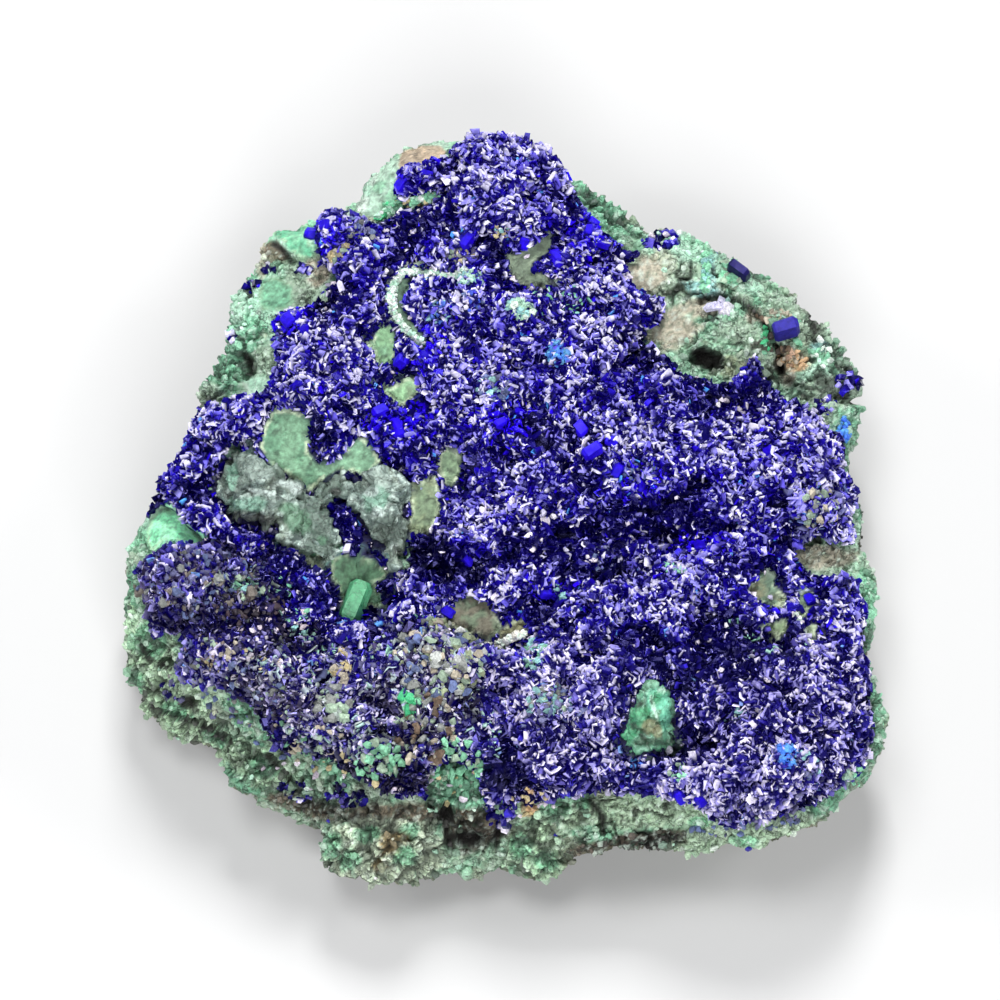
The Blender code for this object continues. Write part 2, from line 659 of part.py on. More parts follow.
def make_prism(name, bed, u, v, size, turn, tilt):
    """A lone six-sided crystal with slanted ends, lying on the matrix with GAP below it."""
    length, breadth, depth = size
    across = ((-0.5, 0.0), (-0.28, 0.5), (0.3, 0.5), (0.5, 0.05), (0.28, -0.5), (-0.3, -0.5))
    ends = ((-0.5, 0.78), (-0.4, 1.0), (0.36, 1.0), (0.5, 0.62))
    corners, faces = [], []
    for along, swell in ends:
        corners += [(along * length, a * breadth * swell, b * depth * swell) for a, b in across]
    for ring in range(len(ends) - 1):
        for i in range(6):
            a, b = ring * 6 + i, ring * 6 + (i + 1) % 6
            faces.append((a, b, b + 6, a + 6))
    faces.append(tuple(range(6)))
    faces.append(tuple(range(6 * len(ends) - 6, 6 * len(ends))))
    x, y = at(u, v, FACE_HEIGHT + CRUST_DEPTH)
    pose = Matrix.Translation((x, y, 0.0))
    pose = pose @ Matrix.Rotation(math.radians(turn), 4, "Z") @ Matrix.Rotation(-math.radians(tilt), 4, "Y")
    moved = [pose @ Vector(corner) for corner in corners]
    lift = max(bed_height(bed, corner.x, corner.y) - corner.z for corner in moved) + GAP
    return solid(name, [(corner.x, corner.y, corner.z + lift) for corner in moved], faces)


# ---------------------------------------------------------------- the specimen
def clear_scene():
    for thing in list(bpy.data.objects):
        bpy.data.objects.remove(thing, do_unlink=True)


def centre(things):
    """Puts the middle of the specimen's box over the origin."""
    bpy.context.view_layer.update()
    graph = bpy.context.evaluated_depsgraph_get()
    corners = [Vector(corner) for thing in things for corner in thing.evaluated_get(graph).bound_box]
    low = [min(corner[i] for corner in corners) for i in range(2)]
    high = [max(corner[i] for corner in corners) for i in range(2)]
    shift = Matrix.Translation((-(low[0] + high[0]) / 2.0, -(low[1] + high[1]) / 2.0, 0.0))
    for thing in bpy.data.objects:
        thing.data.transform(shift)


def build():
    clear_scene()
    lines = face_lines()
    bed = make_bed(lines, random.Random(11))
    windows = [lines[name] for name in ("rim", "crust", *WINDOWS)]
    matrix = make_matrix(bed)
    join_lumps(matrix)
    druse = make_crust(
        "azurite_druse", bed, windows, lambda x, y: in_crust(lines, x, y) and inside(lines["rim"], x, y),
        CRYSTAL_PITCH, CRUST_DEPTH, random.Random(12))
    island = make_crust(
        "azurite_island", bed, [lines["island"]], lambda x, y: inside(lines["island"], x, y),
        ISLAND_PITCH, ISLAND_DEPTH, random.Random(13))
    make_nodules(bed, lines, random.Random(14))
    make_malachite_lump(bed, lines, random.Random(15))
    for name, values in PRISMS.items():
        make_prism(name, bed, *values)
    centre([matrix, druse, island])


GIRTH = girth_line()
RIM = rim_line(GIRTH)
build()
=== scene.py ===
"""The looks of the azurite specimen: its crystals, its malachite-skinned rock and the studio.

Places on the face are given on the view grid, 1000 units square, u to the right and v down,
which is what the camera sees. Colours are named as they look, in 0 to 255, and turned linear.
Lengths are in metres, and MM is a millimetre.
"""

import math

import bmesh
import bpy
import numpy as np
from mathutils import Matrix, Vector, noise
from mathutils.bvhtree import BVHTree


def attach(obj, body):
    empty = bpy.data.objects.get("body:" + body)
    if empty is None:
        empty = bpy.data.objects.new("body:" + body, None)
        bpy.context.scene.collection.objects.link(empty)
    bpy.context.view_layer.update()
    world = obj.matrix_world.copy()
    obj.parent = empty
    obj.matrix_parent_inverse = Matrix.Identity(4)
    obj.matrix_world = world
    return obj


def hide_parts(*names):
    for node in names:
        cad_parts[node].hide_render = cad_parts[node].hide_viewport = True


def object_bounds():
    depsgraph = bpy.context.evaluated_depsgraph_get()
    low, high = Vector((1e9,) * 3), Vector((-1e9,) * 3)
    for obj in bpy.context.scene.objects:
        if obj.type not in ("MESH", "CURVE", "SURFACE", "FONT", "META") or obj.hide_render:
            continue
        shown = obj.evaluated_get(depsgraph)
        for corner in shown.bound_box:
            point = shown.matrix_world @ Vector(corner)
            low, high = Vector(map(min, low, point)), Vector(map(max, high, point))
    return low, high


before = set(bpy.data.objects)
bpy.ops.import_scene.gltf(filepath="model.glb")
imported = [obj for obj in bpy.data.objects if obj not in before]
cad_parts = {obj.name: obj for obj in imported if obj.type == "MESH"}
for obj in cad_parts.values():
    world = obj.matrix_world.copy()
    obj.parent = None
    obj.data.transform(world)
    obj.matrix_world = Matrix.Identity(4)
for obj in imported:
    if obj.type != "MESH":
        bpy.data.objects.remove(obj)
CAD_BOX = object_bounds()

MM = 0.001
CAMERA_ELEVATION = math.radians(68.0)
CAMERA_DISTANCE = 420 * MM
CAMERA_TARGET = Vector((0.0, 0.0, 9.0 * MM))
TARGET_PIXEL = (503.0, 491.0)          # where the target shows on the view grid
PIXELS_PER_METRE = 15490.0             # at the target
FOCAL = PIXELS_PER_METRE * CAMERA_DISTANCE     # the focal length, in grid units
SENSOR = 36.0                          # the camera's sensor, in its own millimetres
GRID = 1000.0                          # the view grid's side
TOP_SPARE = 0.3 * MM                   # how far a crystal may stand above the CAD's box
GROUND_TOP = 0.3 * MM                  # how far below the box's top the druse's ground stays
WALL_FOOT = 0.5 * MM                   # below this the rock isn't refined and no spot holds grains
ANY_TURN = (0.0, 6.3)                  # all the way round, in radians
UP = Vector((0.0, 0.0, 1.0))

rng = np.random.default_rng(7)


def colour(red, green, blue):
    """A colour as it looks, made linear."""
    parts = np.array([red, green, blue], float) / 255.0
    return np.where(parts <= 0.04045, parts / 12.92, ((parts + 0.055) / 1.055) ** 2.4)


DEEP = colour(10, 1, 92)
ROYAL = colour(28, 10, 168)
# A bright saturated blue: partly the crystals' own, partly painted light that shines through them.
VIVID = colour(38, 8, 222)
IRIS = colour(98, 88, 206)
LAVENDER = colour(156, 150, 240)
# A lavender white: of pale crystals and grains, and on crystal tips a painted glint.
WHITE_AND_GLINT = colour(228, 224, 255)
SHELL = colour(236, 226, 240)
DULL = colour(62, 54, 92)
DUSTY = colour(116, 118, 164)
STEEL = colour(96, 112, 160)
SKY = colour(84, 160, 240)
TEAL = colour(150, 206, 204)
MINT = colour(140, 212, 172)
PALE_MINT = colour(182, 226, 200)
WHITE_MINT = colour(222, 240, 226)
CREAM = colour(216, 232, 196)
MID_GREEN = colour(112, 172, 138)
DARK_GREEN = colour(54, 92, 70)
BRIGHT_GREEN = colour(74, 200, 136)
GREY_GREEN = colour(160, 184, 160)
GREY = colour(136, 140, 136)
OLIVE = colour(150, 162, 128)
TAN = colour(190, 180, 160)
SAND = colour(214, 198, 152)
ORANGE = colour(208, 172, 132)
BROWN = colour(112, 92, 74)
BLACK = colour(22, 18, 16)


# ---------------------------------------------------------------- the camera and the view grid
def camera_axes():
    """The camera's place, and its right, up and forward directions."""
    forward = Vector((0.0, math.cos(CAMERA_ELEVATION), -math.sin(CAMERA_ELEVATION)))
    up = Vector((0.0, math.sin(CAMERA_ELEVATION), math.cos(CAMERA_ELEVATION)))
    right = Vector((1.0, 0.0, 0.0))
    place = CAMERA_TARGET - forward * CAMERA_DISTANCE
    place += right * ((GRID / 2 - TARGET_PIXEL[0]) / PIXELS_PER_METRE)
    place -= up * ((GRID / 2 - TARGET_PIXEL[1]) / PIXELS_PER_METRE)
    return place, right, up, forward


def on_grid(points):
    """Where points show on the view grid: their u and v."""
    place, right, up, forward = (np.array(part) for part in camera_axes())
    away = points - place
    depth = away @ forward
    return GRID / 2 + FOCAL * (away @ right) / depth, GRID / 2 - FOCAL * (away @ up) / depth


def seen_at(tree, u, v):
    """The point and normal of a surface that shows at (u, v)."""
    place, right, up, forward = camera_axes()
    ray = forward * FOCAL + right * (u - GRID / 2) - up * (v - GRID / 2)
    point, normal, _, _ = tree.ray_cast(place, ray.normalized())
    return point, normal


def make_camera():
    place, _, _, forward = camera_axes()
    data = bpy.data.cameras.new("camera")
    data.sensor_width = SENSOR
    data.lens = SENSOR * FOCAL / GRID
    data.clip_start = 0.01
    camera = bpy.data.objects.new("camera", data)
    camera.location = place
    camera.rotation_mode = "QUATERNION"
    camera.rotation_quaternion = forward.to_track_quat("-Z", "Y")
    bpy.context.scene.collection.objects.link(camera)
    bpy.context.scene.camera = camera


# ---------------------------------------------------------------- noise over many points
# A seed shifts the noise, so that no two layers of it rise and fall together.
def cloud(points, size, seed=0.0, octaves=3):
    """Smooth noise in -1 to 1 with features about size across."""
    return np.array([noise.fractal(Vector(p), 0.9, 2.1, octaves) for p in points / size + seed])


def cells(points, size, seed=0.0):
    """For cells about size across: the distance to a cell's middle, and to the line round it."""
    found = np.array([noise.voronoi(Vector(p))[0][:2] for p in points / size + seed])
    return found[:, 0], found[:, 1] - found[:, 0]


def warped(points, size, seed=0.0):
    """The points shaken by smooth noise, so that cells over them come out uneven."""
    shake = [cloud(points, size, seed + turn, 2) for turn in (0.0, 7.0, 14.0)]
    return points + 0.4 * size * np.column_stack(shake)


def cracks(points, size, thin, seed=0.0):
    """Winding lines about size apart, broken off here and there: 1 on a line and 0 past thin."""
    near = ramp(thin, 0.2 * thin, np.abs(cloud(points, size, seed, 2)))
    return near * ramp(-0.25, 0.15, cloud(points, 2.2 * size, seed + 5.0, 2))


def facets(points, size, seed=0.0):
    """Flat facets about size across, each tilted its own way: how high points stand on them."""
    places = points / size + seed
    middles = np.array([noise.voronoi(Vector(p))[1][0] for p in places])
    tilts = np.sin(middles @ np.array([(12.9, 4.1, 7.7), (3.3, 15.1, 9.2), (5.8, 8.4, 11.7)]))
    return ((places - middles) * tilts).sum(1)


def ramp(low, high, value):
    """A smooth step from 0 at low to 1 at high; low may be the greater."""
    t = np.clip((value - low) / (high - low), 0.0, 1.0)
    return t * t * (3.0 - 2.0 * t)


def marks(u, v, spots, wander):
    """How much each of many points is in each spot: (u, v, reach across, reach down, turn)."""
    amounts = []
    for cu, cv, across, down, turn in spots:
        angle = math.radians(turn)
        du, dv = u - cu, v - cv
        along = (du * math.cos(angle) + dv * math.sin(angle)) / across
        aside = (dv * math.cos(angle) - du * math.sin(angle)) / down
        amounts.append(ramp(1.25, 0.75, np.hypot(along, aside) + wander))
    return amounts


def inside(u, v, outline):
    """How far points are inside a closed outline of the view grid; outside it is negative."""
    nearest, odd = np.full(len(u), 1e9), np.zeros(len(u), bool)
    for (au, av), (bu, bv) in zip(outline, outline[1:] + outline[:1]):
        nearest = np.minimum(nearest, line_gap(u, v, (au, av), (bu, bv)))
        crossing = au + (v - av) * (bu - au) / (bv - av if bv != av else 1e-9)
        odd ^= ((av > v) != (bv > v)) & (u < crossing)
    return np.where(odd, nearest, -nearest)


def line_gap(u, v, start, end):
    """How far points are from a straight line between two places of the view grid."""
    eu, ev = end[0] - start[0], end[1] - start[1]
    share = np.clip(((u - start[0]) * eu + (v - start[1]) * ev) / (eu * eu + ev * ev), 0.0, 1.0)
    return np.hypot(u - start[0] - share * eu, v - start[1] - share * ev)


def ridge(u, v, line, reach):
    """How near points are to an open line of the view grid: 1 on it and 0 at reach."""
    gaps = [line_gap(u, v, start, end) for start, end in zip(line, line[1:])]
    return ramp(reach, 0.3 * reach, np.min(gaps, axis=0))


def mixed(tones, amount, tone):
    """The tones moved towards another by each point's own amount, from 0 to 1."""
    return tones + np.clip(amount, 0.0, 1.0)[:, None] * (tone - tones)


# ---------------------------------------------------------------- meshes
def put(name, mesh, stands_for=()):
    """Links a piece of the model, hangs it on the root body and hides the CAD parts that it stands for."""
    piece = bpy.data.objects.new(name, mesh)
    bpy.context.scene.collection.objects.link(piece)
    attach(piece, "root")
    if stands_for:
        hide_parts(*stands_for)
    return piece


def remeshed(node_name, voxel):
    """A fine even mesh over a copy of a CAD node."""
    helper = bpy.data.objects.new("remesh_helper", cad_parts[node_name].data.copy())
    bpy.context.scene.collection.objects.link(helper)
    modifier = helper.modifiers.new("remesh", "REMESH")
    modifier.mode = "VOXEL"
    modifier.voxel_size = voxel
    bpy.context.view_layer.update()
    evaluated = helper.evaluated_get(bpy.context.evaluated_depsgraph_get())
    mesh = bpy.data.meshes.new_from_object(evaluated)
    source = helper.data
    bpy.data.objects.remove(helper)
    bpy.data.meshes.remove(source)
    mesh.materials.clear()
    return mesh


def points_of(mesh):
    flat = np.empty(len(mesh.vertices) * 3)
    mesh.vertices.foreach_get("co", flat)
    return flat.reshape(-1, 3)


def first_corners(mesh):
    """The vertex at each face's first corner."""
    starts = np.empty(len(mesh.polygons), dtype=np.int32)
    mesh.polygons.foreach_get("loop_start", starts)
    vertices = np.empty(len(mesh.loops), dtype=np.int32)
    mesh.loops.foreach_get("vertex_index", vertices)
    return vertices[starts]


def normals_of(mesh):
    flat = np.empty(len(mesh.vertices) * 3)
    mesh.vertex_normals.foreach_get("vector", flat)
    return flat.reshape(-1, 3)


def move_points(mesh, points):
    mesh.vertices.foreach_set("co", points.ravel())
    mesh.update()


def tint(mesh, colours, shares=None, name="tint"):
    """Stores a colour for each point, which the materials read, and a share from 0 to 1 with it:
    how high it is in its crystal, or how rough the rock is there."""
    layer = mesh.color_attributes.new(name=name, type="FLOAT_COLOR", domain="POINT")
    shares = np.ones(len(colours)) if shares is None else shares
    layer.data.foreach_set("color", np.column_stack([colours, shares]).ravel())


def tinted(mesh):
    """The colours that tint stored."""
    flat = np.empty(len(mesh.vertices) * 4)
    mesh.color_attributes["tint"].data.foreach_get("color", flat)
    return flat.reshape(-1, 4)


def refine(mesh, chosen):
    """Cuts in four each face whose middle is chosen, and smooths the new corners a little."""
    work = bmesh.new()
    work.from_mesh(mesh)
    middles = np.array([face.calc_center_median()[:] for face in work.faces])
    facings = np.array([face.normal[:] for face in work.faces])
    picked = chosen(middles, facings)
    edges = {edge for face, pick in zip(work.faces, picked) if pick for edge in face.edges}
    cut = bmesh.ops.subdivide_edges(work, edges=list(edges), cuts=1, use_grid_fill=True)
    corners = [item for item in cut["geom_inner"] if isinstance(item, bmesh.types.BMVert)]
    bmesh.ops.smooth_vert(
        work, verts=corners, factor=0.5, use_axis_x=True, use_axis_y=True, use_axis_z=True)
    work.to_mesh(mesh)
    work.free()


def tree_of(meshes):
    """A tree for casting rays at several meshes as one."""
    corners, faces = [], []
    for mesh in meshes:
        first = len(corners)
        corners += [v.co.copy() for v in mesh.vertices]
        faces += [[first + i for i in face.vertices] for face in mesh.polygons]
    return BVHTree.FromPolygons(corners, faces)


# ---------------------------------------------------------------- materials
def node(tree, kind, **settings):
    """A shader node with its inputs or, where it has none of that name, its own settings set."""
    made = tree.nodes.new(kind)
    for name, value in settings.items():
        if name in made.inputs:
            made.inputs[name].default_value = value
        else:
            setattr(made, name, value)
    return made


def noise_node(tree, size, detail=4.0, roughness=0.6):
    where = node(tree, "ShaderNodeTexCoord")
    made = node(tree, "ShaderNodeTexNoise", Scale=1.0 / size, Detail=detail, Roughness=roughness)
    tree.links.new(where.outputs["Object"], made.inputs["Vector"])
    return made


def map_range(tree, source, low, high, to_low, to_high, smooth=False):
    """A node that maps low to high of a source onto to_low to to_high."""
    made = node(tree, "ShaderNodeMapRange")
    made.interpolation_type = "SMOOTHSTEP" if smooth else "LINEAR"
    ends = (("From Min", low), ("From Max", high), ("To Min", to_low), ("To Max", to_high))
    for socket, value in ends:
        made.inputs[socket].default_value = value
    tree.links.new(source, made.inputs["Value"])
    return made.outputs["Result"]


def math_node(tree, operation, first, second):
    made = node(tree, "ShaderNodeMath", operation=operation)
    for socket, value in zip(made.inputs, (first, second)):
        if isinstance(value, float):
            socket.default_value = value
        else:
            tree.links.new(value, socket)
    return made.outputs["Value"]


def finish_mineral(tree, paint, level, grain, bump_height, bump_depth, roughness):
    """Wires a mineral's colour, brightness, roughness and bump into its shader."""
    shader = tree.nodes["Principled BSDF"]
    shade = node(tree, "ShaderNodeVectorMath", operation="SCALE")
    tree.links.new(paint, shade.inputs[0])
    tree.links.new(level, shade.inputs["Scale"])
    tree.links.new(shade.outputs["Vector"], shader.inputs["Base Color"])
    gloss = noise_node(tree, grain * 2.3, 2.0)
    rough = map_range(tree, gloss.outputs["Fac"], 0.3, 0.7, *roughness)
    tree.links.new(rough, shader.inputs["Roughness"])
    bump = node(tree, "ShaderNodeBump", Strength=1.0, Distance=bump_depth)
    tree.links.new(bump_height, bump.inputs["Height"])
    tree.links.new(bump.outputs["Normal"], shader.inputs["Normal"])


AZURITE_GLINT = (0.34, 0.32, 1.0, 1.0)         # azurite's reflections are blue


def azurite_material(name, roughness, ior):
    """Azurite: each crystal's deep foot colour, darkened as painted shade, which turns crisply to its tip's
    near the top.
    """
    material = bpy.data.materials.new(name)
    material.use_nodes = True
    tree = material.node_tree
    shader = tree.nodes["Principled BSDF"]
    shader.inputs["IOR"].default_value = ior
    shader.inputs["Specular Tint"].default_value = AZURITE_GLINT
    tip = node(tree, "ShaderNodeAttribute", attribute_name="tint")
    foot = node(tree, "ShaderNodeAttribute", attribute_name="foot")
    mixed = node(tree, "ShaderNodeMix", data_type="RGBA")
    factor, first, second = mixed.inputs[0], mixed.inputs[6], mixed.inputs[7]
    tree.links.new(map_range(tree, tip.outputs["Alpha"], 0.3, 0.8, 0.0, 1.0, smooth=True), factor)
    tree.links.new(foot.outputs["Color"], first)
    tree.links.new(tip.outputs["Color"], second)
    mottle = map_range(tree, noise_node(tree, 0.3 * MM).outputs["Fac"], 0.32, 0.68, 0.65, 1.3)
    fine = noise_node(tree, 0.12 * MM, 6.0, 0.7)
    finish_mineral(tree, mixed.outputs[2], mottle, grain=0.3 * MM, bump_height=fine.outputs["Fac"],
                   bump_depth=0.012 * MM, roughness=roughness)
    return material


def mineral(name, grain, bump_depth, roughness, mottle, ior, crevice_shade):
    """A mineral: its painted tint, mottled at its grain, with fine crevices painted dark as shade where it
    is rough.
    """
    material = bpy.data.materials.new(name)
    material.use_nodes = True
    tree = material.node_tree
    tree.nodes["Principled BSDF"].inputs["IOR"].default_value = ior
    paint = node(tree, "ShaderNodeAttribute", attribute_name="tint")
    level = map_range(tree, noise_node(tree, grain).outputs["Fac"], 0.32, 0.68, *mottle)
    wave = math_node(tree, "SUBTRACT", noise_node(tree, grain * 3.0, 3.0, 0.55).outputs["Fac"], 0.5)
    # Painted shade in the fine crevices.
    line = map_range(tree, math_node(tree, "ABSOLUTE", wave, 0.0), 0.005, 0.035, crevice_shade, 0.0, smooth=True)
    gap = math_node(tree, "SUBTRACT", 1.0, math_node(tree, "MULTIPLY", line, paint.outputs["Alpha"]))
    fine = noise_node(tree, grain * 0.4, 6.0, 0.7)
    height = math_node(tree, "ADD", fine.outputs["Fac"], math_node(tree, "MULTIPLY", gap, 0.8))
    finish_mineral(tree, paint.outputs["Color"], math_node(tree, "MULTIPLY", level, gap), grain, height,
                   bump_depth, roughness)
    return material


def plain(name, tone, roughness):
    """A material of one tone, for the floor."""
    material = bpy.data.materials.new(name)
    material.use_nodes = True
    shader = material.node_tree.nodes["Principled BSDF"]
    shader.inputs["Base Color"].default_value = (*tone, 1.0)
    shader.inputs["Roughness"].default_value = roughness
    return material


# ---------------------------------------------------------------- the rock
# Patches of the rock's skin: colour, then spots of (u, v, reach across, reach down, turn).
ROCK_PATCHES = (
    (MINT, ((392, 172, 50, 40, -40), (294, 238, 34, 28, 0), (246, 300, 30, 52, 0), (214, 366, 34, 24, 0),
            (600, 206, 46, 20, 35), (168, 530, 44, 28, 0), (864, 600, 14, 30, 0), (876, 690, 12, 50, 0),
            (250, 768, 34, 26, 0), (458, 790, 34, 36, 0), (150, 650, 40, 26, 0), (524, 866, 14, 12, 0),
            (770, 292, 22, 12, 35), (360, 560, 30, 16, 0), (828, 350, 18, 14, 0), (700, 250, 40, 12, 15))),
    (MID_GREEN, ((136, 668, 10, 14, 0), (852, 420, 18, 30, 0), (366, 590, 34, 30, 0),
                 (850, 776, 20, 18, 0), (180, 664, 10, 6, 0), (866, 500, 12, 30, 0), (724, 318, 26, 14, 0),
                 (615, 218, 14, 8, 30), (216, 392, 24, 12, 0), (700, 322, 14, 12, 0))),
    (PALE_MINT, ((270, 300, 24, 24, 0), (292, 240, 18, 18, 0), (296, 440, 50, 32, 20),
                 (356, 460, 28, 24, 0), (258, 388, 18, 15, 0), (372, 196, 16, 24, -30),
                 (380, 350, 20, 24, 0), (394, 396, 26, 14, 0), (165, 522, 24, 18, 0),
                 (236, 300, 12, 30, 0), (730, 262, 20, 10, 20), (384, 160, 26, 10, -30),
                 (745, 284, 24, 8, 20), (815, 372, 18, 12, 0), (686, 250, 20, 12, 0),
                 (350, 566, 16, 8, 0))),
    (GREY_GREEN, ((305, 284, 24, 34, 0), (205, 396, 20, 12, 0), (530, 262, 30, 34, 0),
                  (280, 516, 28, 20, 0), (830, 392, 30, 16, 0), (800, 320, 50, 16, 42),
                  (690, 285, 30, 20, 0), (262, 362, 14, 16, 0), (404, 390, 14, 14, 0),
                  (740, 330, 24, 14, 0))),
    (OLIVE, ((448, 468, 16, 26, 10), (426, 512, 26, 26, 0), (470, 618, 34, 22, 0), (766, 592, 24, 20, 0),
             (800, 620, 30, 30, 0), (730, 366, 13, 13, 0), (270, 520, 10, 8, 0))),
    # Painted light: pale patches that brighten the lower rims, the ledge strip and the lump at the bottom
    # edge.
    (colour(206, 240, 200), ((160, 700, 54, 48, 30), (150, 650, 32, 44, 0), (200, 734, 50, 20, 30),
                             (537, 852, 34, 34, 0), (264, 768, 34, 20, 20))),
    (colour(190, 216, 184), ((640, 812, 100, 18, 0), (745, 836, 90, 16, -5))),
    (colour(226, 242, 212), ((385, 850, 64, 46, 0),)),
    (colour(140, 214, 168), (
        (368, 834, 12, 9, 0), (404, 856, 14, 10, 0), (350, 860, 12, 10, 0), (330, 846, 10, 14, 0),
        (410, 832, 10, 8, 0), (150, 640, 16, 20, 0), (132, 682, 12, 16, 0), (176, 712, 16, 8, 30),
        (216, 738, 14, 8, 20), (262, 766, 16, 12, 0), (520, 846, 12, 12, 0), (548, 862, 14, 10, 0),
        (556, 806, 14, 12, 0), (585, 800, 8, 10, 0), (700, 822, 12, 6, 0), (744, 842, 16, 6, 0))),
    (colour(198, 172, 118), ((388, 846, 10, 13, 20), (402, 838, 8, 6, 0), (380, 866, 8, 6, 0))),
    (TEAL, ((709, 272, 7, 22, 5), (705, 292, 24, 8, 20), (820, 346, 10, 6, 0))),
    (WHITE_MINT, ((508, 640, 26, 9, -10), (440, 138, 46, 7, -4), (364, 204, 8, 8, 0), (340, 214, 10, 6, 0),
                  (402, 150, 16, 9, -40), (384, 182, 12, 12, 0))),
    (colour(208, 192, 166), ((420, 157, 22, 11, -14),)),
    (TAN, ((430, 192, 20, 8, 0), (643, 274, 21, 17, 0), (672, 330, 26, 18, -20),
           (700, 308, 22, 9, 0), (788, 376, 8, 14, 0), (820, 556, 38, 11, 0), (332, 254, 12, 10, 0),
           (436, 766, 10, 8, 0), (262, 258, 8, 18, 0), (316, 272, 12, 12, 0), (754, 316, 8, 8, 0))),
    (ORANGE, ((792, 360, 17, 11, 10), (530, 802, 7, 14, 0))),
    # Along the bottom edge these browns and blacks are painted shadow under the ledges, and the dark spots
    # higher up are painted shade in pockets and cracks; the brown knob at (276, 252) is the rock's own.
    (BROWN, ((276, 252, 14, 9, 30), (620, 848, 64, 12, -10), (480, 826, 34, 16, 0),
             (400, 812, 60, 8, 0), (300, 806, 40, 8, 20))),
    (colour(58, 48, 38), ((636, 842, 62, 9, -10), (470, 838, 30, 14, 0), (320, 806, 40, 7, 20),
                          (760, 346, 10, 5, 0))),
    (BLACK, ((708, 359, 18, 12, 15), (640, 848, 46, 8, -14), (810, 538, 18, 5, -15),
             (470, 838, 16, 8, 0), (779, 364, 6, 9, 0))),
)
CRACKS = (              # lines along which the rock is cracked, pushed in and painted black as shade
    ((738, 302), (750, 308), (764, 322), (772, 338), (780, 352), (782, 372)),
    ((245, 354), (251, 362), (252, 372), (246, 377)),
    ((700, 300), (720, 296), (738, 302)),
    ((274, 244), (282, 250), (292, 262)),
    ((800, 300), (812, 318), (816, 340)),
    ((840, 396), (852, 402), (864, 400)),
    ((190, 356), (204, 348), (222, 350)),
    ((228, 276), (246, 284), (250, 300)),
    ((138, 640), (150, 660), (172, 668)),
    ((130, 690), (160, 712), (196, 722), (230, 742)),
    ((268, 756), (280, 772), (300, 790)),
    ((430, 806), (446, 822), (450, 846)),
    ((488, 800), (498, 822), (496, 846)),
    ((590, 800), (602, 816), (604, 832)),
    ((630, 214), (648, 224), (660, 240)),
    ((856, 480), (866, 520), (862, 548)),
)
CRESCENT = (            # a white-green ridge round a bay of the druse
    (464, 271), (452, 277), (434, 275), (418, 272), (404, 271), (394, 283), (391, 299), (396, 316),
    (409, 332), (424, 344))
PITS = (                # holes, pushed in and painted black as shade: u, v, reach across, reach down, turn
    (706, 359, 15, 10, 15), (780, 366, 5, 9, 0), (812, 539, 17, 5, -12),
    (166, 664, 9, 4, 25), (188, 702, 9, 7, 0), (466, 838, 16, 7, 0), (448, 812, 7, 12, -20))
WINDOW_FLOORS = (       # where the rock comes up between the crystals, painted dark navy as shade between them
    (300, 444, 60, 40, 20), (362, 458, 34, 30, 0), (448, 468, 20, 30, 10), (426, 512, 28, 30, 0),
    (470, 618, 42, 26, 0), (510, 634, 28, 14, 0), (380, 350, 26, 28, 0), (394, 394, 34, 22, 0),
    (766, 592, 28, 24, 0), (800, 620, 34, 34, 0), (530, 262, 38, 40, 0), (405, 305, 28, 48, -20),
    (440, 276, 40, 12, 0), (360, 585, 40, 44, 0), (646, 718, 46, 46, 0))
MOATS = ((270, 500, 76, 46, 0), (380, 500, 44, 60, 0))     # ground round the nodules, painted dark navy as shade
